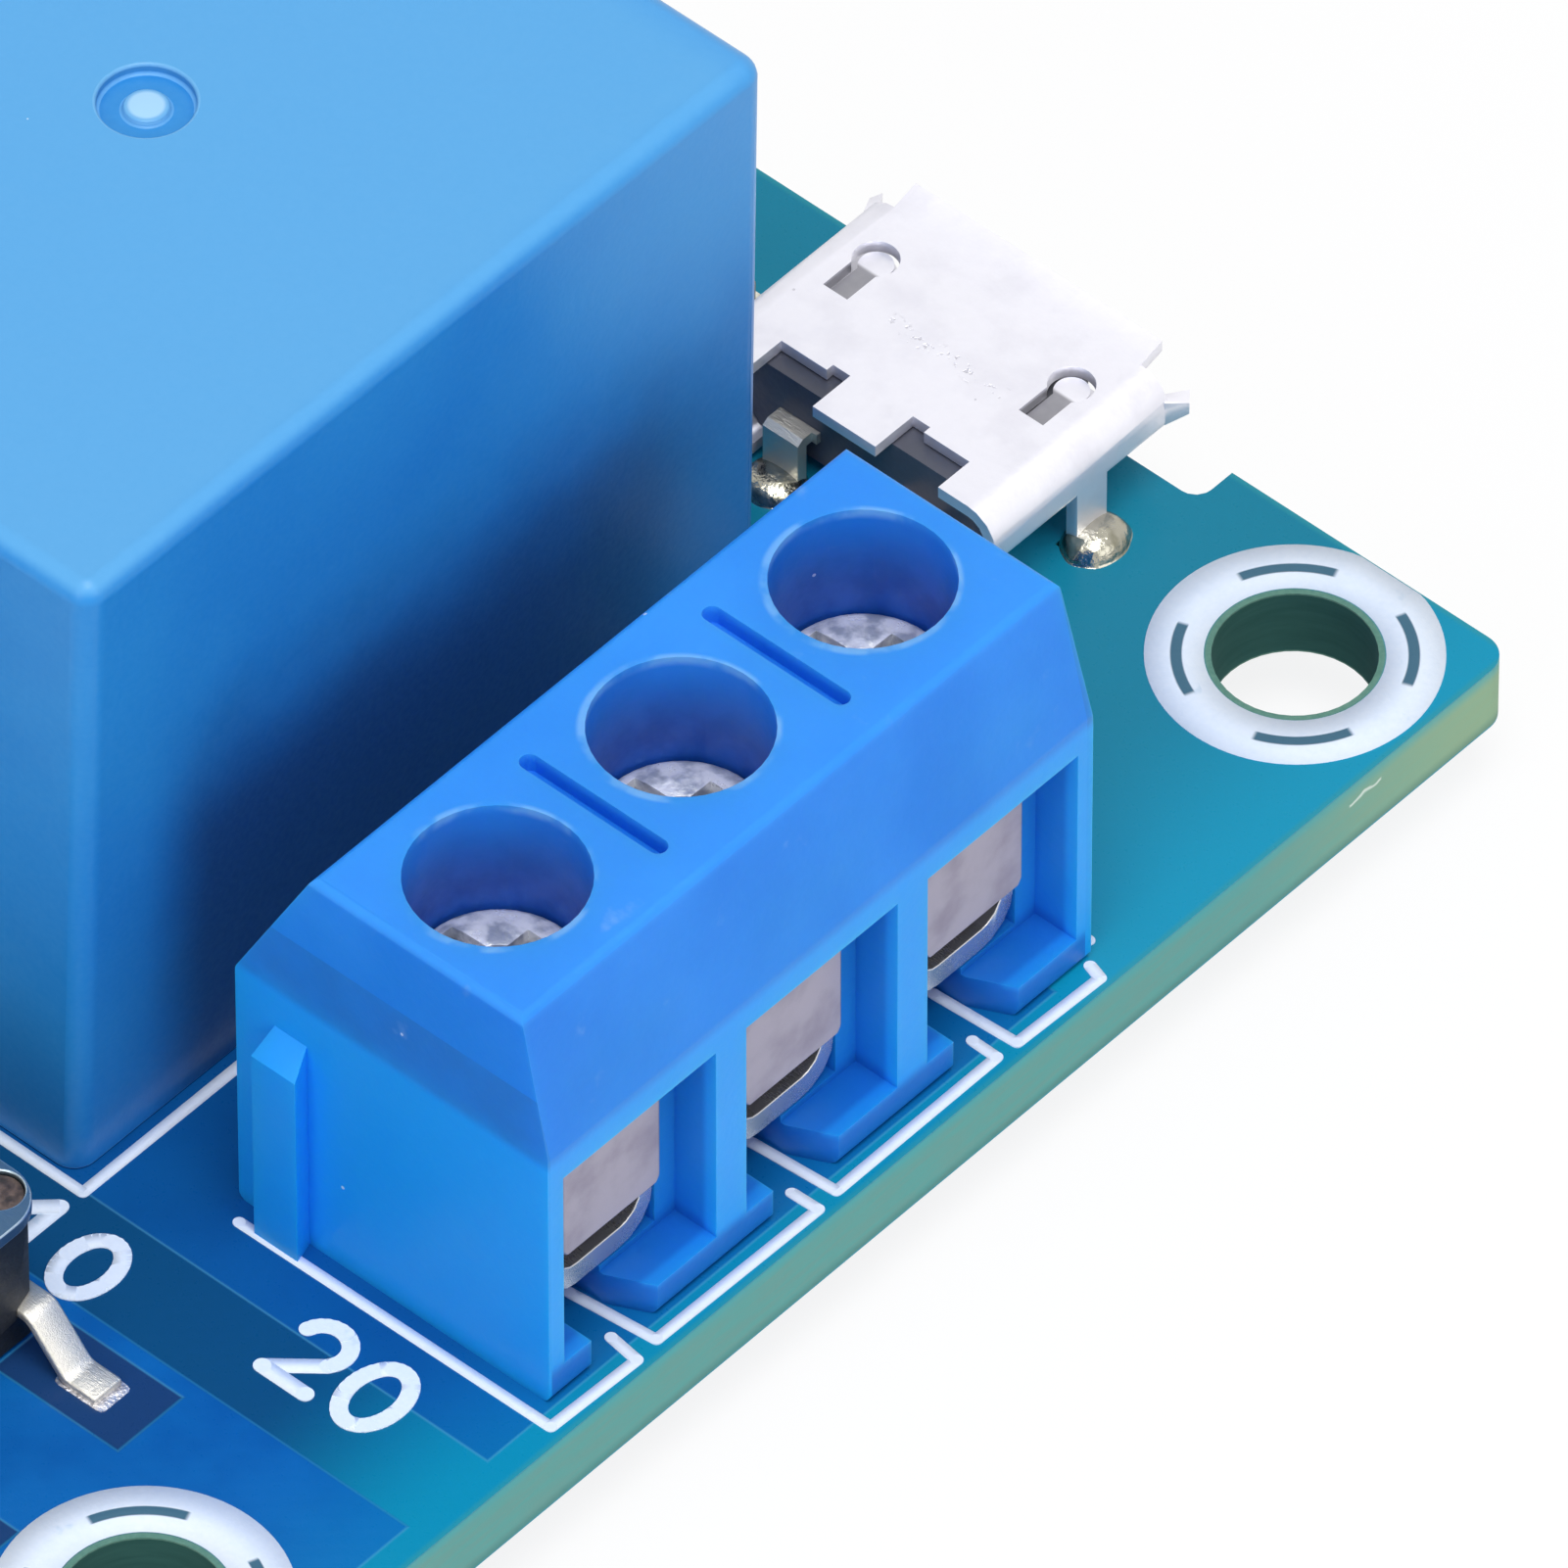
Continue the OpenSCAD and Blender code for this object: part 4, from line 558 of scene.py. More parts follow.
def folded_key(f):
    """Place beside the nearest key: its own x, and how far from the middle line of its pads."""
    index = ((KEY_X - f.x) / KEY_STEP + 0.5).larger(0).smaller(KEY_COUNT - 0.1)
    index = index.sum("FLOOR", index)
    return abs(f.x - KEY_X + index * KEY_STEP), abs(abs(f.y - KEY_Y) - PAD_Y)


def copper_areas(f, pad_gap):
    copper = within(f.x, f.y, *POURS[0])
    for pour in POURS[1:]:
        copper = copper.larger(within(f.x, f.y, *pour))
    return copper * (1 - pad_gap) * from_hole(f).ramp(*HOLE_CLEAR)


print("copper areas:", len(POURS))

# %% [markdown]
# ## Solder mask and laminate
# Over the copper the mask is deep blue. Over bare glass-epoxy, light goes into the laminate and comes back teal.
# Towards the board's cut end both are painted brighter, as painted light. The copper's edge lifts the mask by a foil's
# thickness. Below the skin of mask, by height alone, the cut edge and the hole walls show bare laminate, with its
# layers of glass cloth; the hole walls are painted darker as painted shade.

# %% Board finish
BOARD_TOP, SKIN = 1.6, 0.04
BOARD_END, BOARD_SIDE = (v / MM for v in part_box("circuit_board")[1][:2])
HOLE_WALL, HOLE_RIM = (2.0, 1.7), (1.76, 1.70)
SCRATCH, END_FACE_X = (14.3, 1.05, 15.2, 1.12), 31.1


def mask_colour(f, copper, pad_gap):
    bare = f.mix(f.y.ramp(4.5, 7.6), "#0b4a78", "#107c98")
    # Painted light: brighter towards the board's cut end.
    bare = f.mix(f.x.ramp(26.4, 31.0) * 0.8, bare, "#0a94b8")
    bare = f.mix(pad_gap * 0.85, bare, "#1b3a6c")
    over = f.mix(f.cloud(0.5, 3).ramp(0.3, 0.7), "#0756a0", "#0c62ac")
    over = f.mix(f.y.ramp(-11.8, -10.5) * 0.6, over, "#094a84")
    # Painted light: the copper areas too are brighter towards the cut end.
    over = f.mix(f.x.ramp(27.5, 31.0) * 0.6, over, "#0b78b4")
    colour = f.mix(copper, bare, over)
    edge = abs(copper - 0.5).ramp(0.5, 0.1)
    colour = f.mix(edge * 0.35, colour, "#3f9ac4")
    colour = f.mix(f.specks(0.9, 0.030, 0.2) * 0.8, colour, "#bfe4f5")
    cut = (BOARD_END - abs(f.x)).smaller(BOARD_SIDE - abs(f.y))
    return f.mix(cut.ramp(0.16, 0.03) * 0.7, colour, "#2d8f9c")


def laminate_colour(f, hole):
    glass = f.cloud(2.2, 3, stretch=(0.35, 0.35, 3.0))
    colour = f.mix(glass.ramp(0.3, 0.7) * 0.6, "#5da19c", "#6f9a92")
    colour = f.mix(abs(f.y).ramp(10.5, 18.8) * 0.7, colour, "#9db58a")
    colour = f.mix(f.z.ramp(1.2, 1.58) * 0.7, colour, "#48a6ad")
    colour = f.mix(f.z.ramp(0.35, 0.0) * 0.5, colour, "#3d6f6c")
    # Painted shade: the hole walls are darker.
    return f.mix(hole.ramp(*HOLE_WALL), colour, f.mix(glass, "#24504c", "#3a6660"))


def board_finish():
    f = Finish("solder_mask", {"IOR": 1.45, "Specular IOR Level": 0.22})
    hole, pad_gap = from_hole(f), within(*folded_key(f), *PAD_GAP)
    copper, fine = copper_areas(f, pad_gap), f.cloud(11.0, 3)
    rim = hole.ramp(*HOLE_RIM)
    colour = f.mix(rim, mask_colour(f, copper, pad_gap), f.mix(fine, "#48776c", "#6d9686"))
    inside = (f.z < BOARD_TOP - SKIN) * (f.z > SKIN)
    colour = f.mix(inside, colour, laminate_colour(f, hole))
    scratch = within(f.y, f.z + (f.cloud(1.5, 2) - 0.5) * 0.5, *SCRATCH, soft=0.03)
    colour = f.mix(scratch * (f.x > END_FACE_X) * 0.8, colour, "#dfeae2")
    weave = f.x.sum("SINE", f.x * 14.0) * f.x.sum("SINE", f.y * 14.0)
    height = copper * 0.035 + fine * 0.004 + weave * 0.0012
    rough = inside * 0.4 + fine * 0.10 + rim * 0.2 + 0.24
    return f.done(Base_Color=colour, Roughness=rough, Normal=f.bump(height, 0.7))


solder_mask = board_finish()
print("board finish has", len(solder_mask.node_tree.nodes), "nodes")

# %% [markdown]
# ## From live modifiers to a plain mesh
# The export wants finished meshes, so whatever the modifiers on a piece make is read back from the evaluated
# object and becomes its mesh, and the modifiers go. These small helpers do that for every piece that follows.


# %% Objects and meshes
def link(name, mesh):
    made = bpy.data.objects.new(name, mesh)
    bpy.context.scene.collection.objects.link(made)
    return made


def settle(piece):
    """Turns whatever the modifiers make into a plain mesh."""
    bpy.context.view_layer.update()
    seen = piece.evaluated_get(bpy.context.evaluated_depsgraph_get())
    mesh = bpy.data.meshes.new_from_object(seen)
    piece.modifiers.clear()
    piece.data = mesh
    mesh.name = piece.name
    return piece


def smooth(mesh, degrees=35):
    """Shades a mesh smoothly, but keeps every edge sharp that turns by more than so many degrees."""
    mesh.shade_smooth()
    mesh.set_sharp_from_angle(angle=math.radians(degrees))


print("meshes can be linked, settled and smoothed")

# %% [markdown]
# ## A piece made from a CAD solid
# A CAD mesh comes as loose triangles with knife-sharp edges. Real mouldings and stampings have small radii, and
# these catch the light. So a copy is merged, its flat faces are joined again, and a Bevel modifier rounds every
# corner sharper than 30 degrees. The rounding may have a finish of its own, paler, as a painted highlight along the
# edges, on the terminals mixed with scuffs.
# A Weighted Normal modifier then lets the large faces decide the shading, so that they stay flat beside their
# roundings. The copy rides on the solid's body and takes its place.

# %% Rounded copies
dressed = {}


def joined(node):
    """The solid of a CAD node with its triangles merged back into flat faces."""
    work = bmesh.new()
    work.from_mesh(frame["nodes"][node].data)
    bmesh.ops.remove_doubles(work, verts=work.verts, dist=1e-6)
    bmesh.ops.dissolve_limit(work, angle_limit=math.radians(1.0), verts=work.verts, edges=work.edges)
    bmesh.ops.recalc_face_normals(work, faces=work.faces)
    mesh = bpy.data.meshes.new(node)
    work.to_mesh(mesh)
    work.free()
    return mesh


def rounded_copy(node, name, radius, finish, steps=2, angle=30, rim=None):
    piece = link(name, joined(node))
    # The rim finish goes on the bevel faces, where it is paler as a painted edge highlight.
    for worn in (finish, rim or finish):
        piece.data.materials.append(worn)
    bevel = piece.modifiers.new("edges", "BEVEL")
    bevel.width, bevel.segments, bevel.limit_method = radius * MM, steps, "ANGLE"
    bevel.angle_limit, bevel.miter_outer, bevel.material = math.radians(angle), "MITER_SHARP", 1
    settle(piece)
    smooth(piece.data)
    weigh = piece.modifiers.new("flats", "WEIGHTED_NORMAL")
    weigh.mode, weigh.weight, weigh.keep_sharp = "FACE_AREA", 100, True
    settle(piece)
    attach(piece, frame["nodes"][node]["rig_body"])
    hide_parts(node)
    dressed[node] = piece
    return piece


print("rounding tools ready")

# %% [markdown]
# ## Mouldings and folded sheet
# The radii follow how each thing is made. A mould for a cover or a terminal block has corners of about 0.2 mm,
# bent sheet keeps a radius near a tenth, and a turned screw head has almost none. The cover's corners are round
# enough to show as a line of light, so they get more steps.

# %% Relay, terminals and socket
rounded_copy("relay_cover", "relay_shell", 0.22, relay_blue, 4, 20, relay_rim)
for side in ("output", "input"):
    rounded_copy(f"{side}_housing", f"{side}_block", 0.18, terminal_blue, 3, 30, terminal_rim)
    rounded_copy(f"{side}_clamp_frames", f"{side}_clamps", 0.08, clamp_steel)
    for k in (1, 2, 3):
        rounded_copy(f"{side}_wire_guard_{k}", f"{side}_guard_plate_{k}", 0.06, guard_steel)
        rounded_copy(f"{side}_clamp_screw_{k}", f"{side}_screw_{k}", 0.05, screw_zinc)
rounded_copy("socket_shell", "socket_can", 0.08, shell_steel, 3)
rounded_copy("socket_insulator", "socket_block", 0.08, socket_black)
print("rounded so far:", len(dressed))

# %% [markdown]
# ## Ears of the socket's mouth
# The sheet flares at the mouth to guide a plug in, and at each side the real flare ends in a short rounded nub. The
# solid's flare runs out to a sharp corner there, so the copy's corner points are drawn in, back and towards the
# height of the nub. The further out a point is, the more it moves.

# %% Ears
SHELL_HALF, MOUTH_Y, EAR_Z = 3.86, 17.9, 3.4
DRAWN_IN, PUSHED_BACK, LEVELLED = 0.4, 0.7, 1.3
for vertex in dressed["socket_shell"].data.vertices:
    out = abs(vertex.co.x / MM - SOCKET_X) - SHELL_HALF
    if out > 0 and vertex.co.y / MM > MOUTH_Y:
        vertex.co.x -= math.copysign(out * DRAWN_IN, vertex.co.x / MM - SOCKET_X) * MM
        vertex.co.y -= out * PUSHED_BACK * MM
        vertex.co.z += (EAR_Z * MM - vertex.co.z) * min(1.0, out * LEVELLED)
print("lip reaches", round(max(v.co.x for v in dressed["socket_shell"].data.vertices) / MM, 2), "mm")

# %% [markdown]
# ## The cover leans
# A relay this tall is soldered by hand and seldom stands dead straight. The one in the photograph leans by about
# half a millimetre along the board and a fifth across it, from its foot to its lid. So the moulded copy is sheared
# along its height, and everything else stays put. The vent dimple stays over its own drawing.

# %% Relay lean
LEAN_X, LEAN_Y, FOOT_X, FOOT_Y = 0.47, 0.20, -0.2, -0.05
DIMPLE_DEPTH, DIMPLE_REACH = 0.5, 1.3
foot, crown = (c.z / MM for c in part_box("relay_cover"))
for vertex in dressed["relay_cover"].data.vertices:
    rise = (vertex.co.z / MM - foot) / (crown - foot)
    if vertex.co.z / MM > crown - DIMPLE_DEPTH and math.dist(vertex.co.xy / MM, VENT) < DIMPLE_REACH:
        continue
    vertex.co.x += (LEAN_X * rise + FOOT_X) * MM
    vertex.co.y += (LEAN_Y * rise + FOOT_Y) * MM
print("cover leans by", round(math.degrees(math.atan(LEAN_X / (crown - foot))), 2), "degrees")

# %% [markdown]
# ## Keys
# A push key is a black housing under a folded steel cover, with four bent leads. The housing's corners are cut back
# under the cover, and the solid has them square. So each corner point of the copy is moved in along both axes,
# measured from the middle of its own key, until it lies on the cut.

# %% Keys in moulded form
KEY_CORNER = 5.28
rounded_copy("key_bases", "key_housings", 0.06, key_black)
rounded_copy("key_covers", "key_lids", 0.11, key_steel, 3, 30, key_rim)
for vertex in dressed["key_bases"].data.vertices:
    x, y = vertex.co.x / MM, vertex.co.y / MM - KEY_Y
    x -= min((KEY_X - i * KEY_STEP for i in range(KEY_COUNT)), key=lambda middle: abs(x - middle))
    over = abs(x) + abs(y) - KEY_CORNER
    if over > 0:
        vertex.co.x -= math.copysign(over / 2, x) * MM
        vertex.co.y -= math.copysign(over / 2, y) * MM
rounded_copy("key_leads", "key_gull_leads", 0.05, tinned_metal)
for k in (1, 2, 3, 4):
    rounded_copy(f"key_button_{k}", f"key_plunger_{k}", 0.08, button_plastic)
print("rounded so far:", len(dressed))

# %% [markdown]
# ## Chips
# A chip's body is pressed epoxy with almost sharp edges, and its leads are stamped and bent tinned sheet. Both only
# need the smallest of roundings, enough to draw a thin line of light along an edge.

# %% Chips in moulded form
for node in ("controller_chip", "optocoupler", "transistor", "diode", "regulator"):
    rounded_copy(node, node.replace("_chip", "") + "_body", 0.03, chip_epoxy)
for node in ("controller_leads", "optocoupler_leads"):
    rounded_copy(node, node.replace("_leads", "_gull_leads"), 0.03, tinned_metal)
print("rounded so far:", len(dressed))

# %% [markdown]
# ## Geometry Nodes as a workbench
# Printed strokes, hole rings, pads and chip parts are all one small shape repeated, which is what Geometry Nodes do
# best. A helper opens a node group with named inputs, and another hangs it on an object as a modifier, sets
# each input by its identifier, and turns the result into a plain mesh with nothing live left on it.


# %% Node groups
def group(name, inputs):
    made = bpy.data.node_groups.new(name, "GeometryNodeTree")
    for title, kind in (("Geometry", "Geometry"), *inputs):
        made.interface.new_socket(title, in_out="INPUT", socket_type="NodeSocket" + kind)
    made.interface.new_socket("Geometry", in_out="OUTPUT", socket_type="NodeSocketGeometry")
    t = Tree(made)
    return t, t.node("NodeGroupInput")


def ends_in(t, shape, *finishes):
    """Realize Instances, then one Set Material for each material index."""
    shape = t.node("GeometryNodeRealizeInstances", sockets={"Geometry": shape})
    for index, finish in enumerate(finishes):
        sockets = {"Geometry": shape, "Material": finish}
        if len(finishes) > 1:
            values = {2: t.node("GeometryNodeInputMaterialIndex"), 3: index}
            sockets["Selection"] = t.node("FunctionNodeCompare", {"data_type": "INT", "operation": "EQUAL"}, values)
        shape = t.node("GeometryNodeSetMaterial", sockets=sockets)
    end = t.nodes.nodes.new("NodeGroupOutput")
    t.nodes.links.new(shape.socket, end.inputs[0])
    return t.nodes


def together(t, *shapes):
    """Join Geometry, whose one socket takes every link."""
    both = t.nodes.nodes.new("GeometryNodeJoinGeometry")
    for shape in shapes:
        t.nodes.links.new(shape.socket, both.inputs[0])
    return Sock(t, both.outputs[0])


def grown(piece, tree, values):
    modifier = piece.modifiers.new(tree.name, "NODES")
    modifier.node_group = tree
    for item in tree.interface.items_tree:
        if item.in_out == "INPUT" and item.name in values:
            modifier[item.identifier] = values[item.name]
    return settle(piece)


def points(name, places, sizes=None):
    mesh = bpy.data.meshes.new(name)
    mesh.from_pydata([Vector(p) * MM for p in places], [], [])
    size = mesh.attributes.new("size", "FLOAT_VECTOR", "POINT")
    for i in range(len(places)):
        size.data[i].vector = sizes[i] if sizes else (1, 1, 1)
    return link(name, mesh)


def onto_board(piece):
    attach(piece, "board")
    print(piece.name, "has", len(piece.data.polygons), "faces")
    return piece


print("bench ready: a group, its end, its modifier and its points")

# %% [markdown]
# ## What is printed
# White ink is screen printed on the mask in strokes of one width with round ends. The outlines follow the
# terminals, the relay and the display, and the legends are plain numbers. A stroke is a row of points, and a figure
# is drawn as a person would write it, with arcs and lines, in a box one high.

# %% Lines and figures
TERMINAL = (
    ((23.1, -8.0), (30.91, -7.94), (30.98, -5.62), (30.24, -5.52)),
    ((28.9, -5.2), (30.91, -5.0), (30.97, -0.53), (30.32, -0.55)),
    ((28.89, -0.1), (30.91, 0.04), (30.89, 4.6), (30.27, 4.61)),
    ((28.93, 5.02), (30.93, 5.13), (31.0, 7.42), (30.65, 7.53)),
    ((22.3, 8.0), (30.2, 8.0)),
    ((22.3, 8.0), (22.3, 7.2)),
)
FRAMES = (((20.41, 10.35), (20.41, -9.4), (4.7, -9.4), (4.7, 10.35), (20.41, 10.35)),
          ((-20.45, -8.95), (2.65, -8.95), (2.65, 5.6), (-20.45, 5.6), (-20.45, -8.95)))


def arc(x, y, half_width, half_height, first, last, count=14):
    angles = [math.radians(first + (last - first) * i / count) for i in range(count + 1)]
    return tuple((x + half_width * math.cos(a), y + half_height * math.sin(a)) for a in angles)


DIGITS = {
    "0": arc(0.32, 0.5, 0.32, 0.5, 0, 360, 32),
    "1": ((0.12, 0.76), (0.36, 1), (0.36, 0)),
    "2": arc(0.31, 0.69, 0.31, 0.31, 165, -38) + ((0, 0), (0.64, 0)),
    "3": arc(0.3, 0.75, 0.27, 0.25, 150, -80) + arc(0.3, 0.27, 0.31, 0.27, 85, -155),
    "4": ((0.46, 0), (0.46, 1), (0, 0.3), (0.64, 0.3)),
}
LEGENDS = (
    ("20", 25.86, -10.38, 1.62), ("10", 19.75, -11.5, 1.55), ("30", 22.0, 10.3, 1.25),
    ("1", 15.2, -11.1, 1.3), ("2", 4.9, -11.1, 1.3), ("3", -6.6, -11.1, 1.3), ("4", -18.0, -11.1, 1.3),
)
SPACING, WIDEN = 0.92, 1.05


def written(text, x, y, height):
    """The strokes of a number whose lower left corner is at x, y."""
    wide = height * WIDEN
    return [[(x + (i * SPACING + px) * wide, y + py * height) for px, py in DIGITS[d]] for i, d in enumerate(text)]


frames = [*TERMINAL, *FRAMES, *([(-x, 0.1 - y) for x, y in path] for path in TERMINAL)]
numbers = [stroke for legend in LEGENDS for stroke in written(*legend)]
print("outline strokes:", len(frames), "figure strokes:", len(numbers))

# %% [markdown]
# ## A tree that inks a stroke
# Each stroke is an edge of a bare mesh: a curve along it is swept with a thin bar, and a disc stands on each loose
# vertex to round an end or a turn. A curve alone would leave a notch at every sharp turn.


# %% Stroke tree
def stroke_tree():
    inputs = (("Width", "Float"), ("Thickness", "Float"), ("Lift", "Float"), ("Ink", "Material"))
    t, start = group("ink_strokes", inputs)
    width, thick = start.out("Width"), start.out("Thickness")
    line = t.node("GeometryNodeMeshToCurve", sockets={"Mesh": start})
    line = t.node("GeometryNodeSetCurveNormal", {"mode": "Z_UP"}, {"Curve": line})
    profile = t.node("GeometryNodeCurvePrimitiveQuadrilateral", sockets={"Width": width, "Height": thick})
    bar = t.node("GeometryNodeCurveToMesh", sockets={"Curve": line, "Profile Curve": profile, "Fill Caps": True})
    disc = t.node("GeometryNodeMeshCylinder", sockets={"Vertices": 24, "Radius": width * 0.5, "Depth": thick})
    lone = t.node("GeometryNodeInputMeshVertexNeighbors") < 0.5
    ends = t.node("GeometryNodeInstanceOnPoints", sockets={"Points": start, "Selection": lone, "Instance": disc})
    lift = t.node("ShaderNodeCombineXYZ", sockets={2: start.out("Lift")})
    flat = t.node("GeometryNodeTransform", sockets={"Geometry": together(t, ends, bar), "Translation": lift})
    return ends_in(t, flat, start.out("Ink"))


inked = stroke_tree()
print("stroke tree has", len(inked.nodes), "nodes")

# %% [markdown]
# ## Ink
# Screen-printed ink is a little uneven, and thin in patches. In the broad ring round each hole it leaves four
# short dashes of mask bare. They lie on the diagonals, where the smaller of a point's two offsets from the hole is
# more than about a third of its distance.

# %% Ink finish
DASH_R, DASH_HALF = 2.27, (0.13, 0.09)


def ink_finish():
    f = Finish("ink_white", {"IOR": 1.45, "Specular IOR Level": 0.3})
    dx, dy = abs(f.x) - HOLES[0][0], abs(f.y) - HOLES[0][1]
    reach = apart(dx, dy)
    diagonal = abs(dx).smaller(abs(dy)) - reach * 0.36
    dash = abs(reach - DASH_R).ramp(*DASH_HALF) * diagonal.ramp(-0.05, 0.05) * (reach < 3.0)
    fine = f.cloud(9.0, 3)
    colour = f.mix(fine * 0.3 + f.cloud(1.0, 2) * 0.2, "#e9f1fd", "#bcd2ec")
    worn = f.cloud(1.3, 3).ramp(0.66, 0.74) * (reach > 2.0)
    colour = f.mix(worn * 0.35, colour, "#9dbfdc")
    colour = f.mix(dash * 0.95, colour, "#225a72")
    return f.done(Base_Color=colour, Roughness=fine * 0.2 + 0.45, Normal=f.bump(fine * 0.006 - dash * 0.02))


ink_white = ink_finish()
print("dashes lie", DASH_R, "mm from a hole's axis")

# %% [markdown]
# ## Printing
# Where strokes cross or meet, two faces at one height would fight and render black. So neighbours differ in height
# by a micron or two: bars take even steps and discs take odd ones. The outlines and the numbers are two
# pieces, because their strokes have different widths.

# %% Print
INK_STEP, LEVELS, INK_THICK = 0.001, 7, 0.04
for name, paths, width in (("printed_frames", frames, 0.25), ("printed_numbers", numbers, 0.35)):
    ends, bars, turns = [], [], []
    for path in paths:
        for first, last in zip(path, path[1:]):
            level = len(bars) % LEVELS * 2 * INK_STEP
            bars.append((len(ends), len(ends) + 1))
            ends += [(*first, level), (*last, level)]
        for place in path:
            turns.append((*place, (len(turns) % LEVELS * 2 + 1) * INK_STEP))
    strokes = bpy.data.meshes.new(name)
    strokes.from_pydata([Vector(p) * MM for p in ends + turns], bars, [])
    values = {"Width": width * MM, "Thickness": INK_THICK * MM, "Lift": BOARD_TOP * MM, "Ink": ink_white}
    printed = grown(link(name, strokes), inked, values)
    print("ink reaches", round((max(v.co.z for v in printed.data.vertices) / MM - BOARD_TOP) * 1000), "microns")
    onto_board(printed)

# %% [markdown]
# ## Rings round the holes
# Each fixing hole has a broad printed ring where a screw head bears. One flat washer shape is made once, with a
# square profile swept round a circle, and is set on four points. The dashes in it are left to the ink's finish.
# It would reach a little past the board's long edge, so its points are held back from the cut.

# %% Rings
RING_IN, RING_OUT, RING_THICK, RING_LIMIT = 1.74, 2.88, 0.03, 18.97


def ring_tree():
    inputs = (("Inner", "Float"), ("Outer", "Float"), ("Thickness", "Float"), ("Places", "Object"), ("Ink", "Material"))
    t, start = group("hole_rings", inputs)
    inner, outer, thick = start.out("Inner"), start.out("Outer"), start.out("Thickness")
    path = t.node("GeometryNodeCurvePrimitiveCircle", sockets={"Resolution": 96, "Radius": (inner + outer) * 0.5})
    profile = t.node("GeometryNodeCurvePrimitiveQuadrilateral", sockets={"Width": outer - inner, "Height": thick})
    washer = t.node("GeometryNodeCurveToMesh", sockets={"Curve": path, "Profile Curve": profile})
    places = t.node("GeometryNodeObjectInfo", sockets={"Object": start.out("Places")}).out("Geometry")
    set_out = t.node("GeometryNodeInstanceOnPoints", sockets={"Points": places, "Instance": washer})
    return ends_in(t, set_out, start.out("Ink"))


centres = points("hole_centres", [(x, y, BOARD_TOP) for x, y in HOLES])
values = {"Inner": RING_IN * MM, "Outer": RING_OUT * MM, "Thickness": RING_THICK * MM, "Places": centres,
          "Ink": ink_white}
rings = grown(link("hole_rings", bpy.data.meshes.new("hole_rings")), ring_tree(), values)
bpy.data.objects.remove(centres)
for vertex in rings.data.vertices:
    vertex.co.y = max(-RING_LIMIT * MM, min(RING_LIMIT * MM, vertex.co.y))
onto_board(rings)

# %% [markdown]
# ## Finding the feet
# Every surface-mounted lead stands on a pad a little larger than its foot. Typing the pads' places would repeat what
# the CAD leads already say, so they are measured there: the points near the board are gathered into connected
# clusters, and each cluster's rectangle is one foot.


# %% Feet
def islands(node, below=math.inf):
    """Middle and size in millimetres of each connected piece of a node, or of what lies below a height."""
    work = bmesh.new()
    work.from_mesh(frame["nodes"][node].data)
    bmesh.ops.remove_doubles(work, verts=work.verts, dist=1e-6)
    left, found = {v for v in work.verts if v.co.z < below * MM}, []
    while left:
        stack, places = [left.pop()], []
        while stack:
            vertex = stack.pop()
            places.append(vertex.co / MM)
            fresh = [v for v in (e.other_vert(vertex) for e in vertex.link_edges) if v in left]
            left.difference_update(fresh)
            stack += fresh
        low = Vector([min(c[i] for c in places) for i in range(3)])
        high = Vector([max(c[i] for c in places) for i in range(3)])
        found.append(((low + high) / 2, high - low))
    work.free()
    return found


def feet(node):
    """Rectangles (x, y, width, depth) where a node touches the board."""
    return [(m.x, m.y, size.x, size.y) for m, size in islands(node, BOARD_TOP + 0.06) if min(size.x, size.y) > 0.1]


LAID = ("key_leads", "controller_leads", "optocoupler_leads", "regulator", "diode", "transistor")
pads = [foot for node in LAID for foot in feet(node)]
print("feet found:", len(pads))

# %% [markdown]
# ## One unit on many places
# Pads and chip parts are one small unit on many points. This tree puts its own mesh, with its numbered
# materials, on each point of another object, stretched by the size that the point carries. The units themselves
# are put together from blocks with soft edges, in millimetres.


# %% Repeating
def repeat_tree(name, count):
    inputs = [("Places", "Object")] + [(f"Finish {i}", "Material") for i in range(count)]
    t, start = group(name, inputs)
    places = t.node("GeometryNodeObjectInfo", sockets={"Object": start.out("Places")}).out("Geometry")
    size = t.node("GeometryNodeInputNamedAttribute", {"data_type": "FLOAT_VECTOR"}, {"Name": "size"})
    sockets = {"Points": places, "Instance": start, "Scale": size}
    set_out = t.node("GeometryNodeInstanceOnPoints", sockets=sockets)
    return ends_in(t, set_out, *[start.out(f"Finish {i}") for i in range(count)])


def block(work, size, centre, index=0, edge=0.0, steps=2):
    """A block with soft edges, in millimetres."""
    corners = bmesh.ops.create_cube(work, size=1)["verts"]
    bmesh.ops.scale(work, vec=size, verts=corners)
    bmesh.ops.translate(work, vec=centre, verts=corners)
    for face in {f for v in corners for f in v.link_faces}:
        face.material_index = index
    if edge:
        edges = list({e for v in corners for e in v.link_edges})
        bmesh.ops.bevel(work, geom=edges, offset=edge, segments=steps, profile=0.5, affect="EDGES")


def shaped(name, work):
    bmesh.ops.scale(work, vec=(MM, MM, MM), verts=work.verts)
    bmesh.ops.recalc_face_normals(work, faces=work.faces)
    mesh = bpy.data.meshes.new(name)
    work.to_mesh(mesh)
    work.free()
    return link(name, mesh)


def repeated(name, work, places, sizes, finishes):
    piece, spots = shaped(name, work), points(name + "_places", places, sizes)
    for finish in finishes:
        piece.data.materials.append(finish)
    values = {"Places": spots, **{f"Finish {i}": finish for i, finish in enumerate(finishes)}}
    grown(piece, repeat_tree(name + "_tree", len(finishes)), values)
    bpy.data.objects.remove(spots)
    smooth(piece.data)
    return piece


print("units can be repeated")

# %% [markdown]
# ## Tinned pads
# Solder on a flat pad is bright where it pooled, and grey and grainy where flux boiled. Each pad is a thin tile with
# soft edges, longer than its foot along the lead, where the solder is pulled out over the toe.


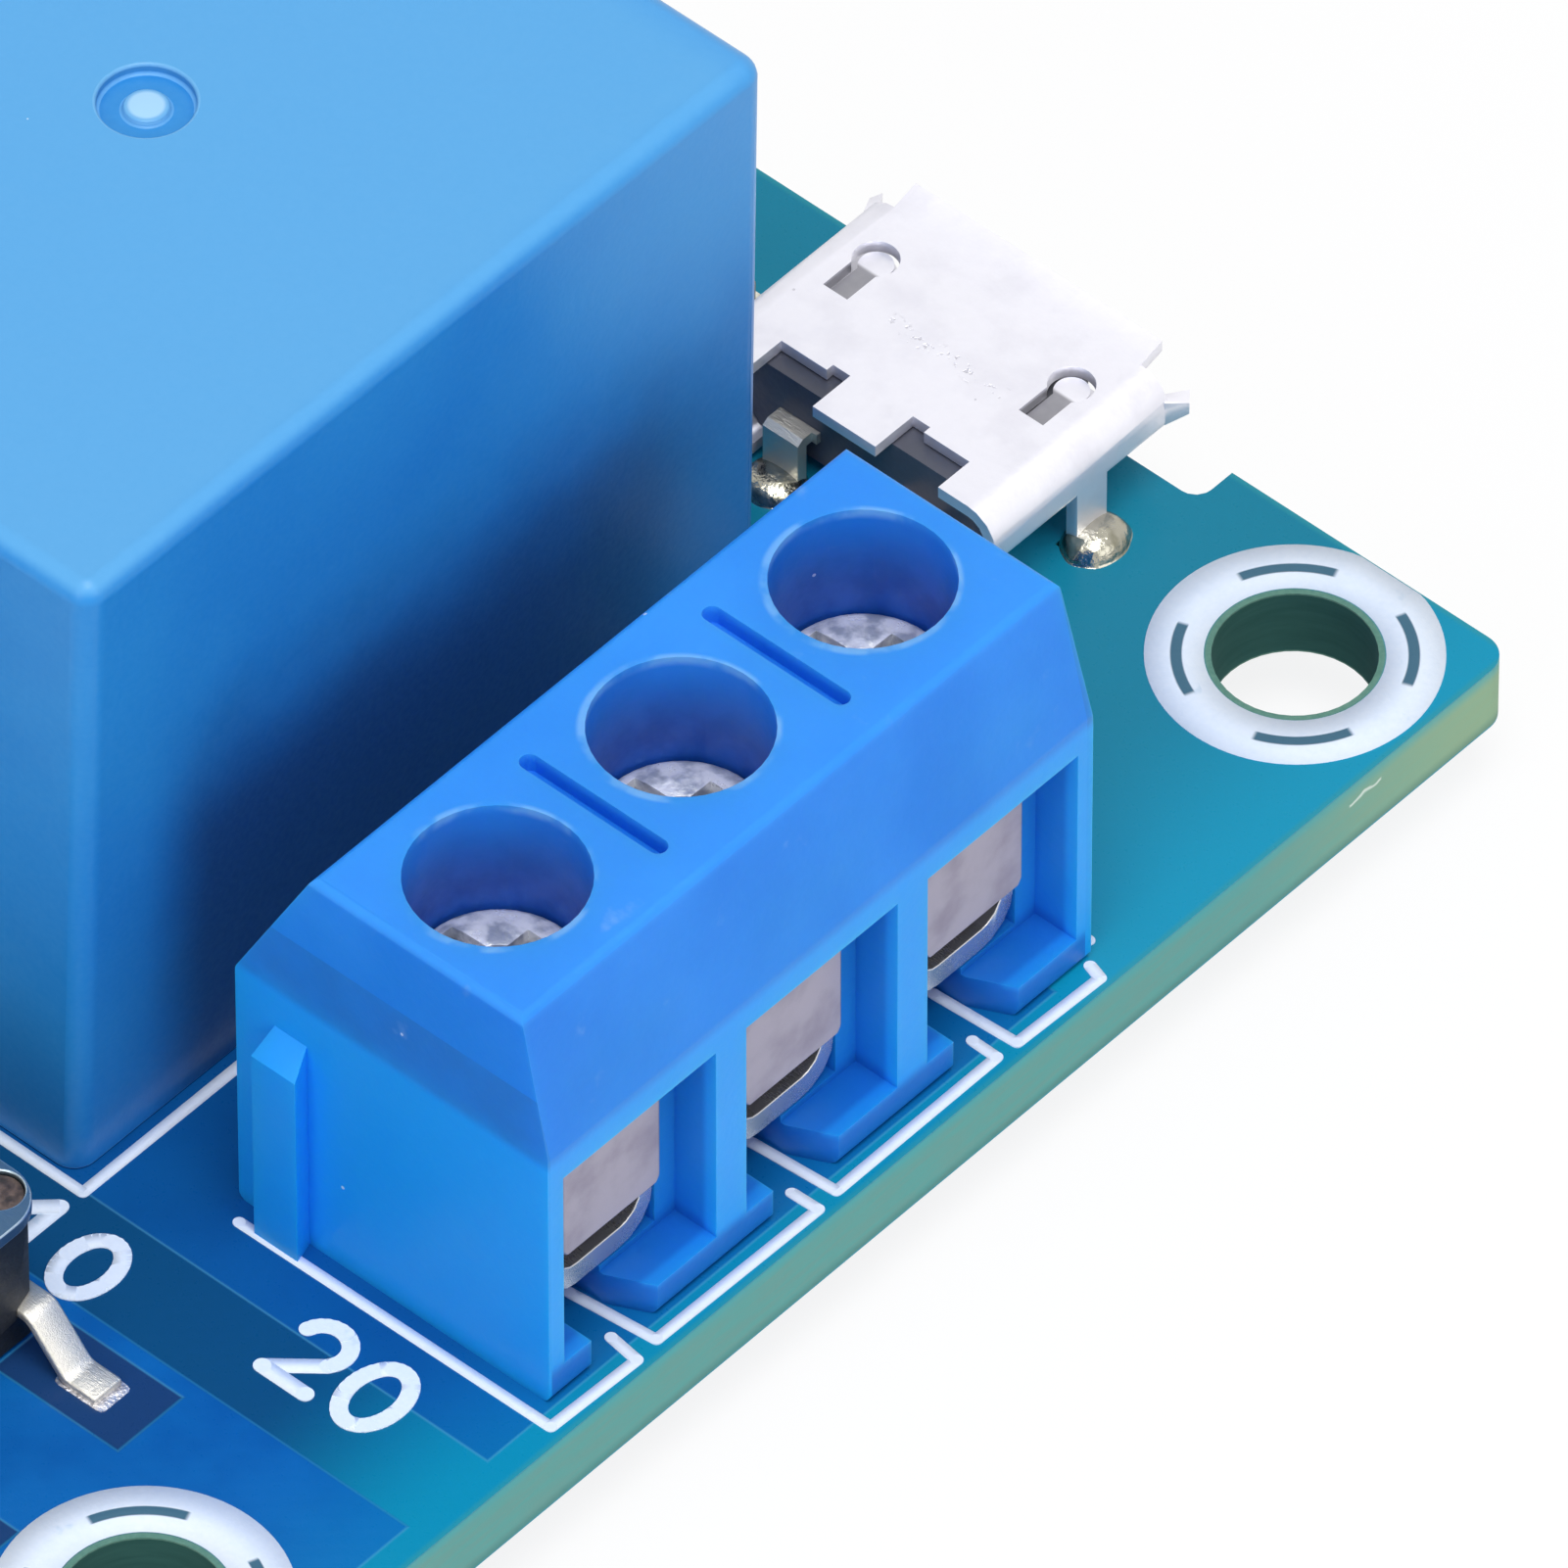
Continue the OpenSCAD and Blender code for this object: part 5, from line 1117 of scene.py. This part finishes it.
# %% Pads
def pad_film():
    f = Finish("pad_solder", {"Metallic": 0.8})
    swirl, grain = f.cloud(3.5, 3), f.cloud(14.0, 3)
    colour = f.mix(swirl.ramp(0.4, 0.7) * 0.6 + grain * 0.2, "#eceaf0", "#9c9ca6")
    return f.done(Base_Color=colour, Roughness=swirl * 0.3 + 0.2, Normal=f.bump(swirl * 0.05 + grain * 0.02))


PAD_THICK, PAD_ASIDE, TOE_MOST = 0.05, 0.1, 0.5
tile = bmesh.new()
block(tile, (1, 1, 1), (0, 0, 0), edge=0.12)
sizes = []
for x, y, w, d in pads:
    toe = min(TOE_MOST, 0.25 + max(w, d) * 0.2)
    sizes.append((w + (toe if w > d else PAD_ASIDE), d + (toe if d >= w else PAD_ASIDE), PAD_THICK))
tiles = repeated("tinned_pads", tile, [(x, y, BOARD_TOP) for x, y, w, d in pads], sizes, [pad_film()])
onto_board(tiles)

# %% [markdown]
# ## Chip parts
# Resistors, capacitors and LEDs are blocks a millimetre or two long with metal ends and a slope of solder at each.
# A unit of each kind is built once with its materials by number, then set on the places of the CAD solids. The
# slope is a small prism with a hollow curve, because molten solder wets up the end and thins out along the pad.

# %% Chips
BASE_SHARE, BODY_EDGE, CAP_EDGE, LENS_EDGE = 0.45, 0.02, 0.05, 0.12
SLOPE_REACH, SLOPE_RISE, SOLDER_LENGTH, SOLDER_THICK = 0.34, 0.5, 0.9, 0.03


def slope(work, side, half_w, x_end, reach, rise, index):
    """A concave fillet at one end of a chip that lies along Y."""
    curve = [(0.0, 0.0), (reach, 0.0), (reach * 0.5, rise * 0.16), (reach * 0.2, rise * 0.42), (0.0, rise)]
    rows = [[work.verts.new((s * half_w, side * (x_end + a), b)) for a, b in curve] for s in (-1, 1)]
    faces = [work.faces.new(rows[0]), work.faces.new(rows[1])]
    for i in range(len(curve)):
        j = (i + 1) % len(curve)
        faces.append(work.faces.new((rows[0][i], rows[0][j], rows[1][j], rows[1][i])))
    for face in faces:
        face.material_index = index


def chip(node, name, finishes, end, lens=False):
    """Finishes are the body's, the caps', the solder's and the lens's; end is the length of a cap."""
    solids = islands(node)
    w, l, h = solids[0][1]
    work = bmesh.new()
    body_h = h * BASE_SHARE if lens else h - 0.03
    block(work, (w - 0.04, l - 2 * end + 0.05, body_h), (0, 0, body_h / 2 + 0.01), 0, BODY_EDGE)
    for s in (-1, 1):
        cap_h = body_h + 0.01 if lens else h
        block(work, (w, end, cap_h), (0, s * (l - end) / 2, cap_h / 2), 1, CAP_EDGE)
        slope(work, s, w / 2 - 0.03, l / 2 - 0.02, SLOPE_REACH, min(h * 0.7, SLOPE_RISE), 2)
        block(work, (w + 0.1, SOLDER_LENGTH, SOLDER_THICK), (0, s * (l / 2 - 0.05), 0.012), 2)
    if lens:
        drop = (w - 0.08, l - 2 * end - 0.1, h - body_h + 0.02)
        block(work, drop, (0, 0, (h + body_h) / 2 - 0.01), 3, LENS_EDGE, 3)
    piece = repeated(name, work, [(m.x, m.y, BOARD_TOP) for m, size in solids], None, finishes)
    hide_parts(node)
    dressed[node] = onto_board(piece)


print("a chip unit has a body, two caps, two slopes and two pads")

# %% [markdown]
# ## Fired bodies and lenses
# A resistor is white alumina with a dark glaze over its film, a capacitor is plain brown ceramic, and an LED is a
# pale base under a clear drop of epoxy. The glaze is only a layer on top, so height tells it from the body.


# %% Chip parts
def ceramic(name, low, high, glaze=None, glaze_z=0.0):
    """A fired body, with a glaze above a given height where it has one."""
    f = Finish(name, {"IOR": 1.5})
    grain = f.cloud(9.0, 3)
    colour = f.mix(grain, low, high)
    if glaze:
        colour = f.mix(f.z > BOARD_TOP + glaze_z, colour, glaze)
    return f.done(Base_Color=colour, Roughness=grain * 0.2 + 0.35, Normal=f.bump(grain * 0.006))


def lens_epoxy():
    glow = {"Subsurface Weight": 0.4, "Subsurface Radius": (1, 1, 1), "Subsurface Scale": 0.3 * MM}
    f = Finish("led_epoxy", {"IOR": 1.52, **glow})
    haze = f.cloud(2.0, 2)
    colour = f.mix(f.x.ramp(-0.5, 0.5), f.mix(haze, "#f2e6b4", "#e9d895"), f.mix(haze, "#f0c9c2", "#e6b3aa"))
    return f.done(Base_Color=colour, Roughness=haze * 0.15 + 0.15, Normal=f.bump(haze * 0.01))


resistor_ceramic = ceramic("resistor_ceramic", "#d9d7cf", "#ebe9e2", "#1d1e21", 0.36)
capacitor_ceramic = ceramic("capacitor_ceramic", "#b08f68", "#c2a27a")
led_base = ceramic("led_base", "#e9e6da", "#f6f3ea")
chip("chip_resistors", "film_resistors", [resistor_ceramic, tinned_metal, solder_metal], 0.28)
chip("chip_capacitors", "layer_capacitors", [capacitor_ceramic, tinned_metal, solder_metal], 0.4)
chip("indicator_leds", "indicator_lamps", [led_base, gilt_metal, solder_metal, lens_epoxy()], 0.35, True)

# %% [markdown]
# ## Threads on the clamp screws
# The CAD keeps each shank a plain cylinder, because the rise of a clamp is set by its joint and not by a thread. Here
# a spiral of 0.45 mm pitch is swept with a small diamond round every shank. It stands 0.05 mm proud, within the
# clearance of the tapped plate. The Spiral node winds to the left by itself, so it is reversed: on a right-hand
# thread, a turn to the left as seen from above goes with a rise.

# %% Screw threads
SHANK_R, THREAD_PITCH, THREAD_LENGTH, CREST = 0.98, 0.45, 2.7, 0.12


def thread_tree():
    inputs = (("Radius", "Float"), ("Pitch", "Float"), ("Length", "Float"), ("Crest", "Float"), ("Foot", "Vector"),
              ("Metal", "Material"))
    t, start = group("screw_thread", inputs)
    radius, length = start.out("Radius"), start.out("Length")
    spiral = {"Resolution": 24, "Rotations": length / start.out("Pitch"), "Start Radius": radius,
              "End Radius": radius, "Height": length, "Reverse": True}
    path = t.node("GeometryNodeCurveSpiral", sockets=spiral)
    profile = t.node("GeometryNodeCurvePrimitiveCircle", sockets={"Resolution": 4, "Radius": start.out("Crest")})
    ridge = t.node("GeometryNodeCurveToMesh", sockets={"Curve": path, "Profile Curve": profile, "Fill Caps": True})
    ridge = t.node("GeometryNodeTransform", sockets={"Geometry": ridge, "Translation": start.out("Foot")})
    return ends_in(t, together(t, ridge, start), start.out("Metal"))


threads = thread_tree()
for side in ("output", "input"):
    for k in (1, 2, 3):
        screw = dressed[f"{side}_clamp_screw_{k}"]
        low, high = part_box(f"{side}_clamp_screw_{k}")
        axis = (low + high) / 2
        values = {"Radius": SHANK_R * MM, "Pitch": THREAD_PITCH * MM, "Length": THREAD_LENGTH * MM,
                  "Crest": CREST * MM, "Foot": (axis.x, axis.y, low.z + 0.1 * MM), "Metal": screw_zinc}
        grown(screw, threads, values)
        smooth(screw.data)
print("faces on one screw:", len(screw.data.polygons))

# %% [markdown]
# ## Solder at the power socket
# Solder drawn into a plated hole ends in a shiny bead with the leg or tail sunk in it. The CAD keeps plain hills
# there. Each bead here is a ball of many faces, pressed flat at the board and swollen unevenly by a sine pattern.

# %% Beads
SWELL, FLARE, SPREAD = 0.05, 0.22, 0.43


def beads(node, name):
    work = bmesh.new()
    for middle, size in islands(node):
        for vertex in bmesh.ops.create_icosphere(work, subdivisions=4, radius=1)["verts"]:
            u = vertex.co.copy()
            swell = 1 + SWELL * math.sin(5 * u.x + middle.x) * math.sin(4 * u.y + middle.y)
            flare = 1 + FLARE * max(0.0, 0.35 - u.z) ** 1.2
            height = max(0.0, u.z) ** 0.9 * size.z * 0.8
            vertex.co.x = middle.x + u.x * size.x * SPREAD * swell * flare
            vertex.co.y = middle.y + u.y * size.y * SPREAD * swell * flare
            vertex.co.z = middle.z - size.z / 2 - 0.01 + height
    piece = shaped(name, work)
    piece.data.materials.append(bead_metal)
    smooth(piece.data, 180)
    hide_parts(node)
    dressed[node] = onto_board(piece)


beads("socket_solder", "socket_beads")

# %% [markdown]
# ## Finishes on the solids that stay
# A solid whose shape is already right keeps its own mesh and only gets a better material. Most of these are
# hidden inside the relay cover or under the keys, and are seen when the part is taken apart.


# %% Carried-over solids
def wear(node, finish):
    slots = frame["nodes"][node].data.materials
    slots.clear()
    slots.append(finish)


STAYS = {
    "circuit_board": solder_mask, "relay_base": base_plastic, "relay_bobbin": bobbin_plastic,
    "relay_core": soft_iron, "relay_yoke": soft_iron, "relay_armature": soft_iron,
    "relay_contact_blade": spring_copper, "relay_hinge_spring": spring_steel,
    "relay_nc_terminal": contact_brass, "relay_no_terminal": contact_brass,
    "relay_common_pin": tinned_metal, "relay_coil_pins": tinned_metal,
    "socket_contacts": tinned_metal, "display_pins": tinned_metal, "solder_joints": solder_metal,
}
for node, finish in STAYS.items():
    wear(node, finish)
print("solids kept:", len(STAYS))

# %% [markdown]
# ## Spring domes under the keys
# Each key has a thin domed leaf that snaps flat under the plunger. It is pressed from spring steel and trapped
# between the housing's floor and the plunger.

# %% Spring domes
for k in (1, 2, 3, 4):
    dome = link(f"spring_dome_{k}", joined(f"key_dome_{k}"))
    dome.data.materials.append(spring_steel)
    smooth(dome.data)
    low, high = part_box(f"key_dome_{k}")
    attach(dome, "board")
    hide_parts(f"key_dome_{k}")
    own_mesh(dome)
    dressed[f"key_dome_{k}"] = dome
print("dome height in mm:", round((high[2] - low[2]) / MM, 2))

# %% [markdown]
# ## Coil wire
# The relay's coil is hundreds of turns of lacquered copper. Turn by turn they read as fine ribs round the bobbin,
# which a wave across the coil's length draws in the bump and the colour together.

# %% Coil
WIRE_PITCH = 0.12


def coil_finish():
    f = Finish("enamelled_copper", {"Metallic": 0.85, "Coat Weight": 0.6, "Coat Roughness": 0.15})
    rib = f.z.sum("SINE", f.z * (2 * math.pi / WIRE_PITCH))
    colour = f.mix(rib.ramp(-0.9, 0.6) * 0.7 + f.cloud(1.2, 2) * 0.3, "#5a2410", "#c4602c")
    return f.done(Base_Color=colour, Roughness=f.cloud(3.0, 2) * 0.2 + 0.2, Normal=f.bump(rib * 0.02))


wear("relay_coil", coil_finish())
print("coil wound in pitch", WIRE_PITCH, "mm")

# %% [markdown]
# ## Display face
# The case is black with a slightly matt front, and its segments are milky epoxy windows that stay pale when dark.


# %% Display
def segment_finish():
    f = Finish("segment_epoxy", {"IOR": 1.5})
    cloud = f.cloud(3.0, 2)
    colour = f.mix(cloud, "#cfcac4", "#e6e2dc")
    return f.done(Base_Color=colour, Roughness=cloud * 0.1 + 0.3, Normal=f.bump(cloud * 0.004))


display_face = moulded("display_face", "#17181a", "#222326", rough=0.5, grain=0.004)
rounded_copy("display_case", "display_housing", 0.12, display_face, 2, 40)
wear("display_segments", segment_finish())
print("display dressed")

# %% [markdown]
# ## Sky
# The sky is an even white. It is full white only to rays from the camera, in reflections and through clear parts;
# as a light it is weaker, so that a colour renders about as it is written.

# %% Sky
SKY_LIGHT = 0.38


def shown_rays(t):
    """1 for rays from the camera, in reflections and through clear parts, 0 for those that only carry light."""
    ray = t.node("ShaderNodeLightPath")
    return ray.larger(ray.out("Is Glossy Ray")).larger(ray.out("Is Transmission Ray"))


world = bpy.data.worlds.new("studio")
world.use_nodes = True
sky_tree = Tree(world.node_tree)
sky_tree.nodes.nodes.clear()
strength = shown_rays(sky_tree) * (1 - SKY_LIGHT) + SKY_LIGHT
sky = sky_tree.node("ShaderNodeBackground", sockets={"Color": (1, 1, 1, 1), "Strength": strength})
world_out = sky_tree.nodes.nodes.new("ShaderNodeOutputWorld")
sky_tree.nodes.links.new(sky.socket, world_out.inputs["Surface"])
bpy.context.scene.world = world
print("sky as a light:", SKY_LIGHT)

# %% [markdown]
# ## Floor
# A plain pale floor stands where the pins end. To the camera it is mostly white of its own, and the rest of it is
# lit paper, which keeps the shadow under the board.

# %% Floor
FLOOR_HALF, FLOOR_GLOW = 1.5, 0.86


def floor_finish():
    f = Finish("floor_paper", {"Roughness": 0.9})
    f.done(Base_Color=f.mix(f.cloud(0.02, 2), "#f2f2f3", "#f8f8f9"))
    glow = f.node("ShaderNodeEmission", sockets={"Color": (1, 1, 1, 1), "Strength": 1.0})
    paper = Sock(f, f.shader.outputs[0])
    both = f.node("ShaderNodeMixShader", sockets={0: shown_rays(f) * FLOOR_GLOW, 1: paper, 2: glow})
    f.nodes.links.new(both.socket, f.output.inputs["Surface"])
    return f.material


low = cad_box[0].z
corners = [(x * FLOOR_HALF, y * FLOOR_HALF, low) for x, y in ((-1, -1), (1, -1), (1, 1), (-1, 1))]
floor = link("floor", bpy.data.meshes.new("floor"))
floor.data.from_pydata(corners, [], [(0, 1, 2, 3)])
floor.data.materials.append(floor_finish())
print("floor lies at", round(low / MM, 2), "mm")

# %% [markdown]
# ## Lamps
# One broad soft lamp high on the near side gives the light its direction. A weaker one from the front
# keeps the shaded faces readable, and a third from the right lights the wire entries and the board's cut end.

# %% Lamps
LAMP_AIM = Vector((0.01, 0, 0))


def lamp(name, place, size, power):
    """A square lamp that looks at the board."""
    data = bpy.data.lights.new(name, "AREA")
    data.shape, data.size, data.energy = "SQUARE", size, power
    made = bpy.data.objects.new(name, data)
    turn = (LAMP_AIM - Vector(place)).to_track_quat("-Z", "Y")
    made.matrix_world = Matrix.Translation(place) @ turn.to_matrix().to_4x4()
    bpy.context.scene.collection.objects.link(made)


lamp("key_lamp", (0.2, -0.12, 0.78), 0.45, 4.4)
lamp("fill_lamp", (0.1, -0.7, 0.35), 0.5, 1.4)
lamp("side_lamp", (0.72, 0.0, 0.38), 0.5, 1.0)
print("lamps:", len(bpy.data.lights))

# %% [markdown]
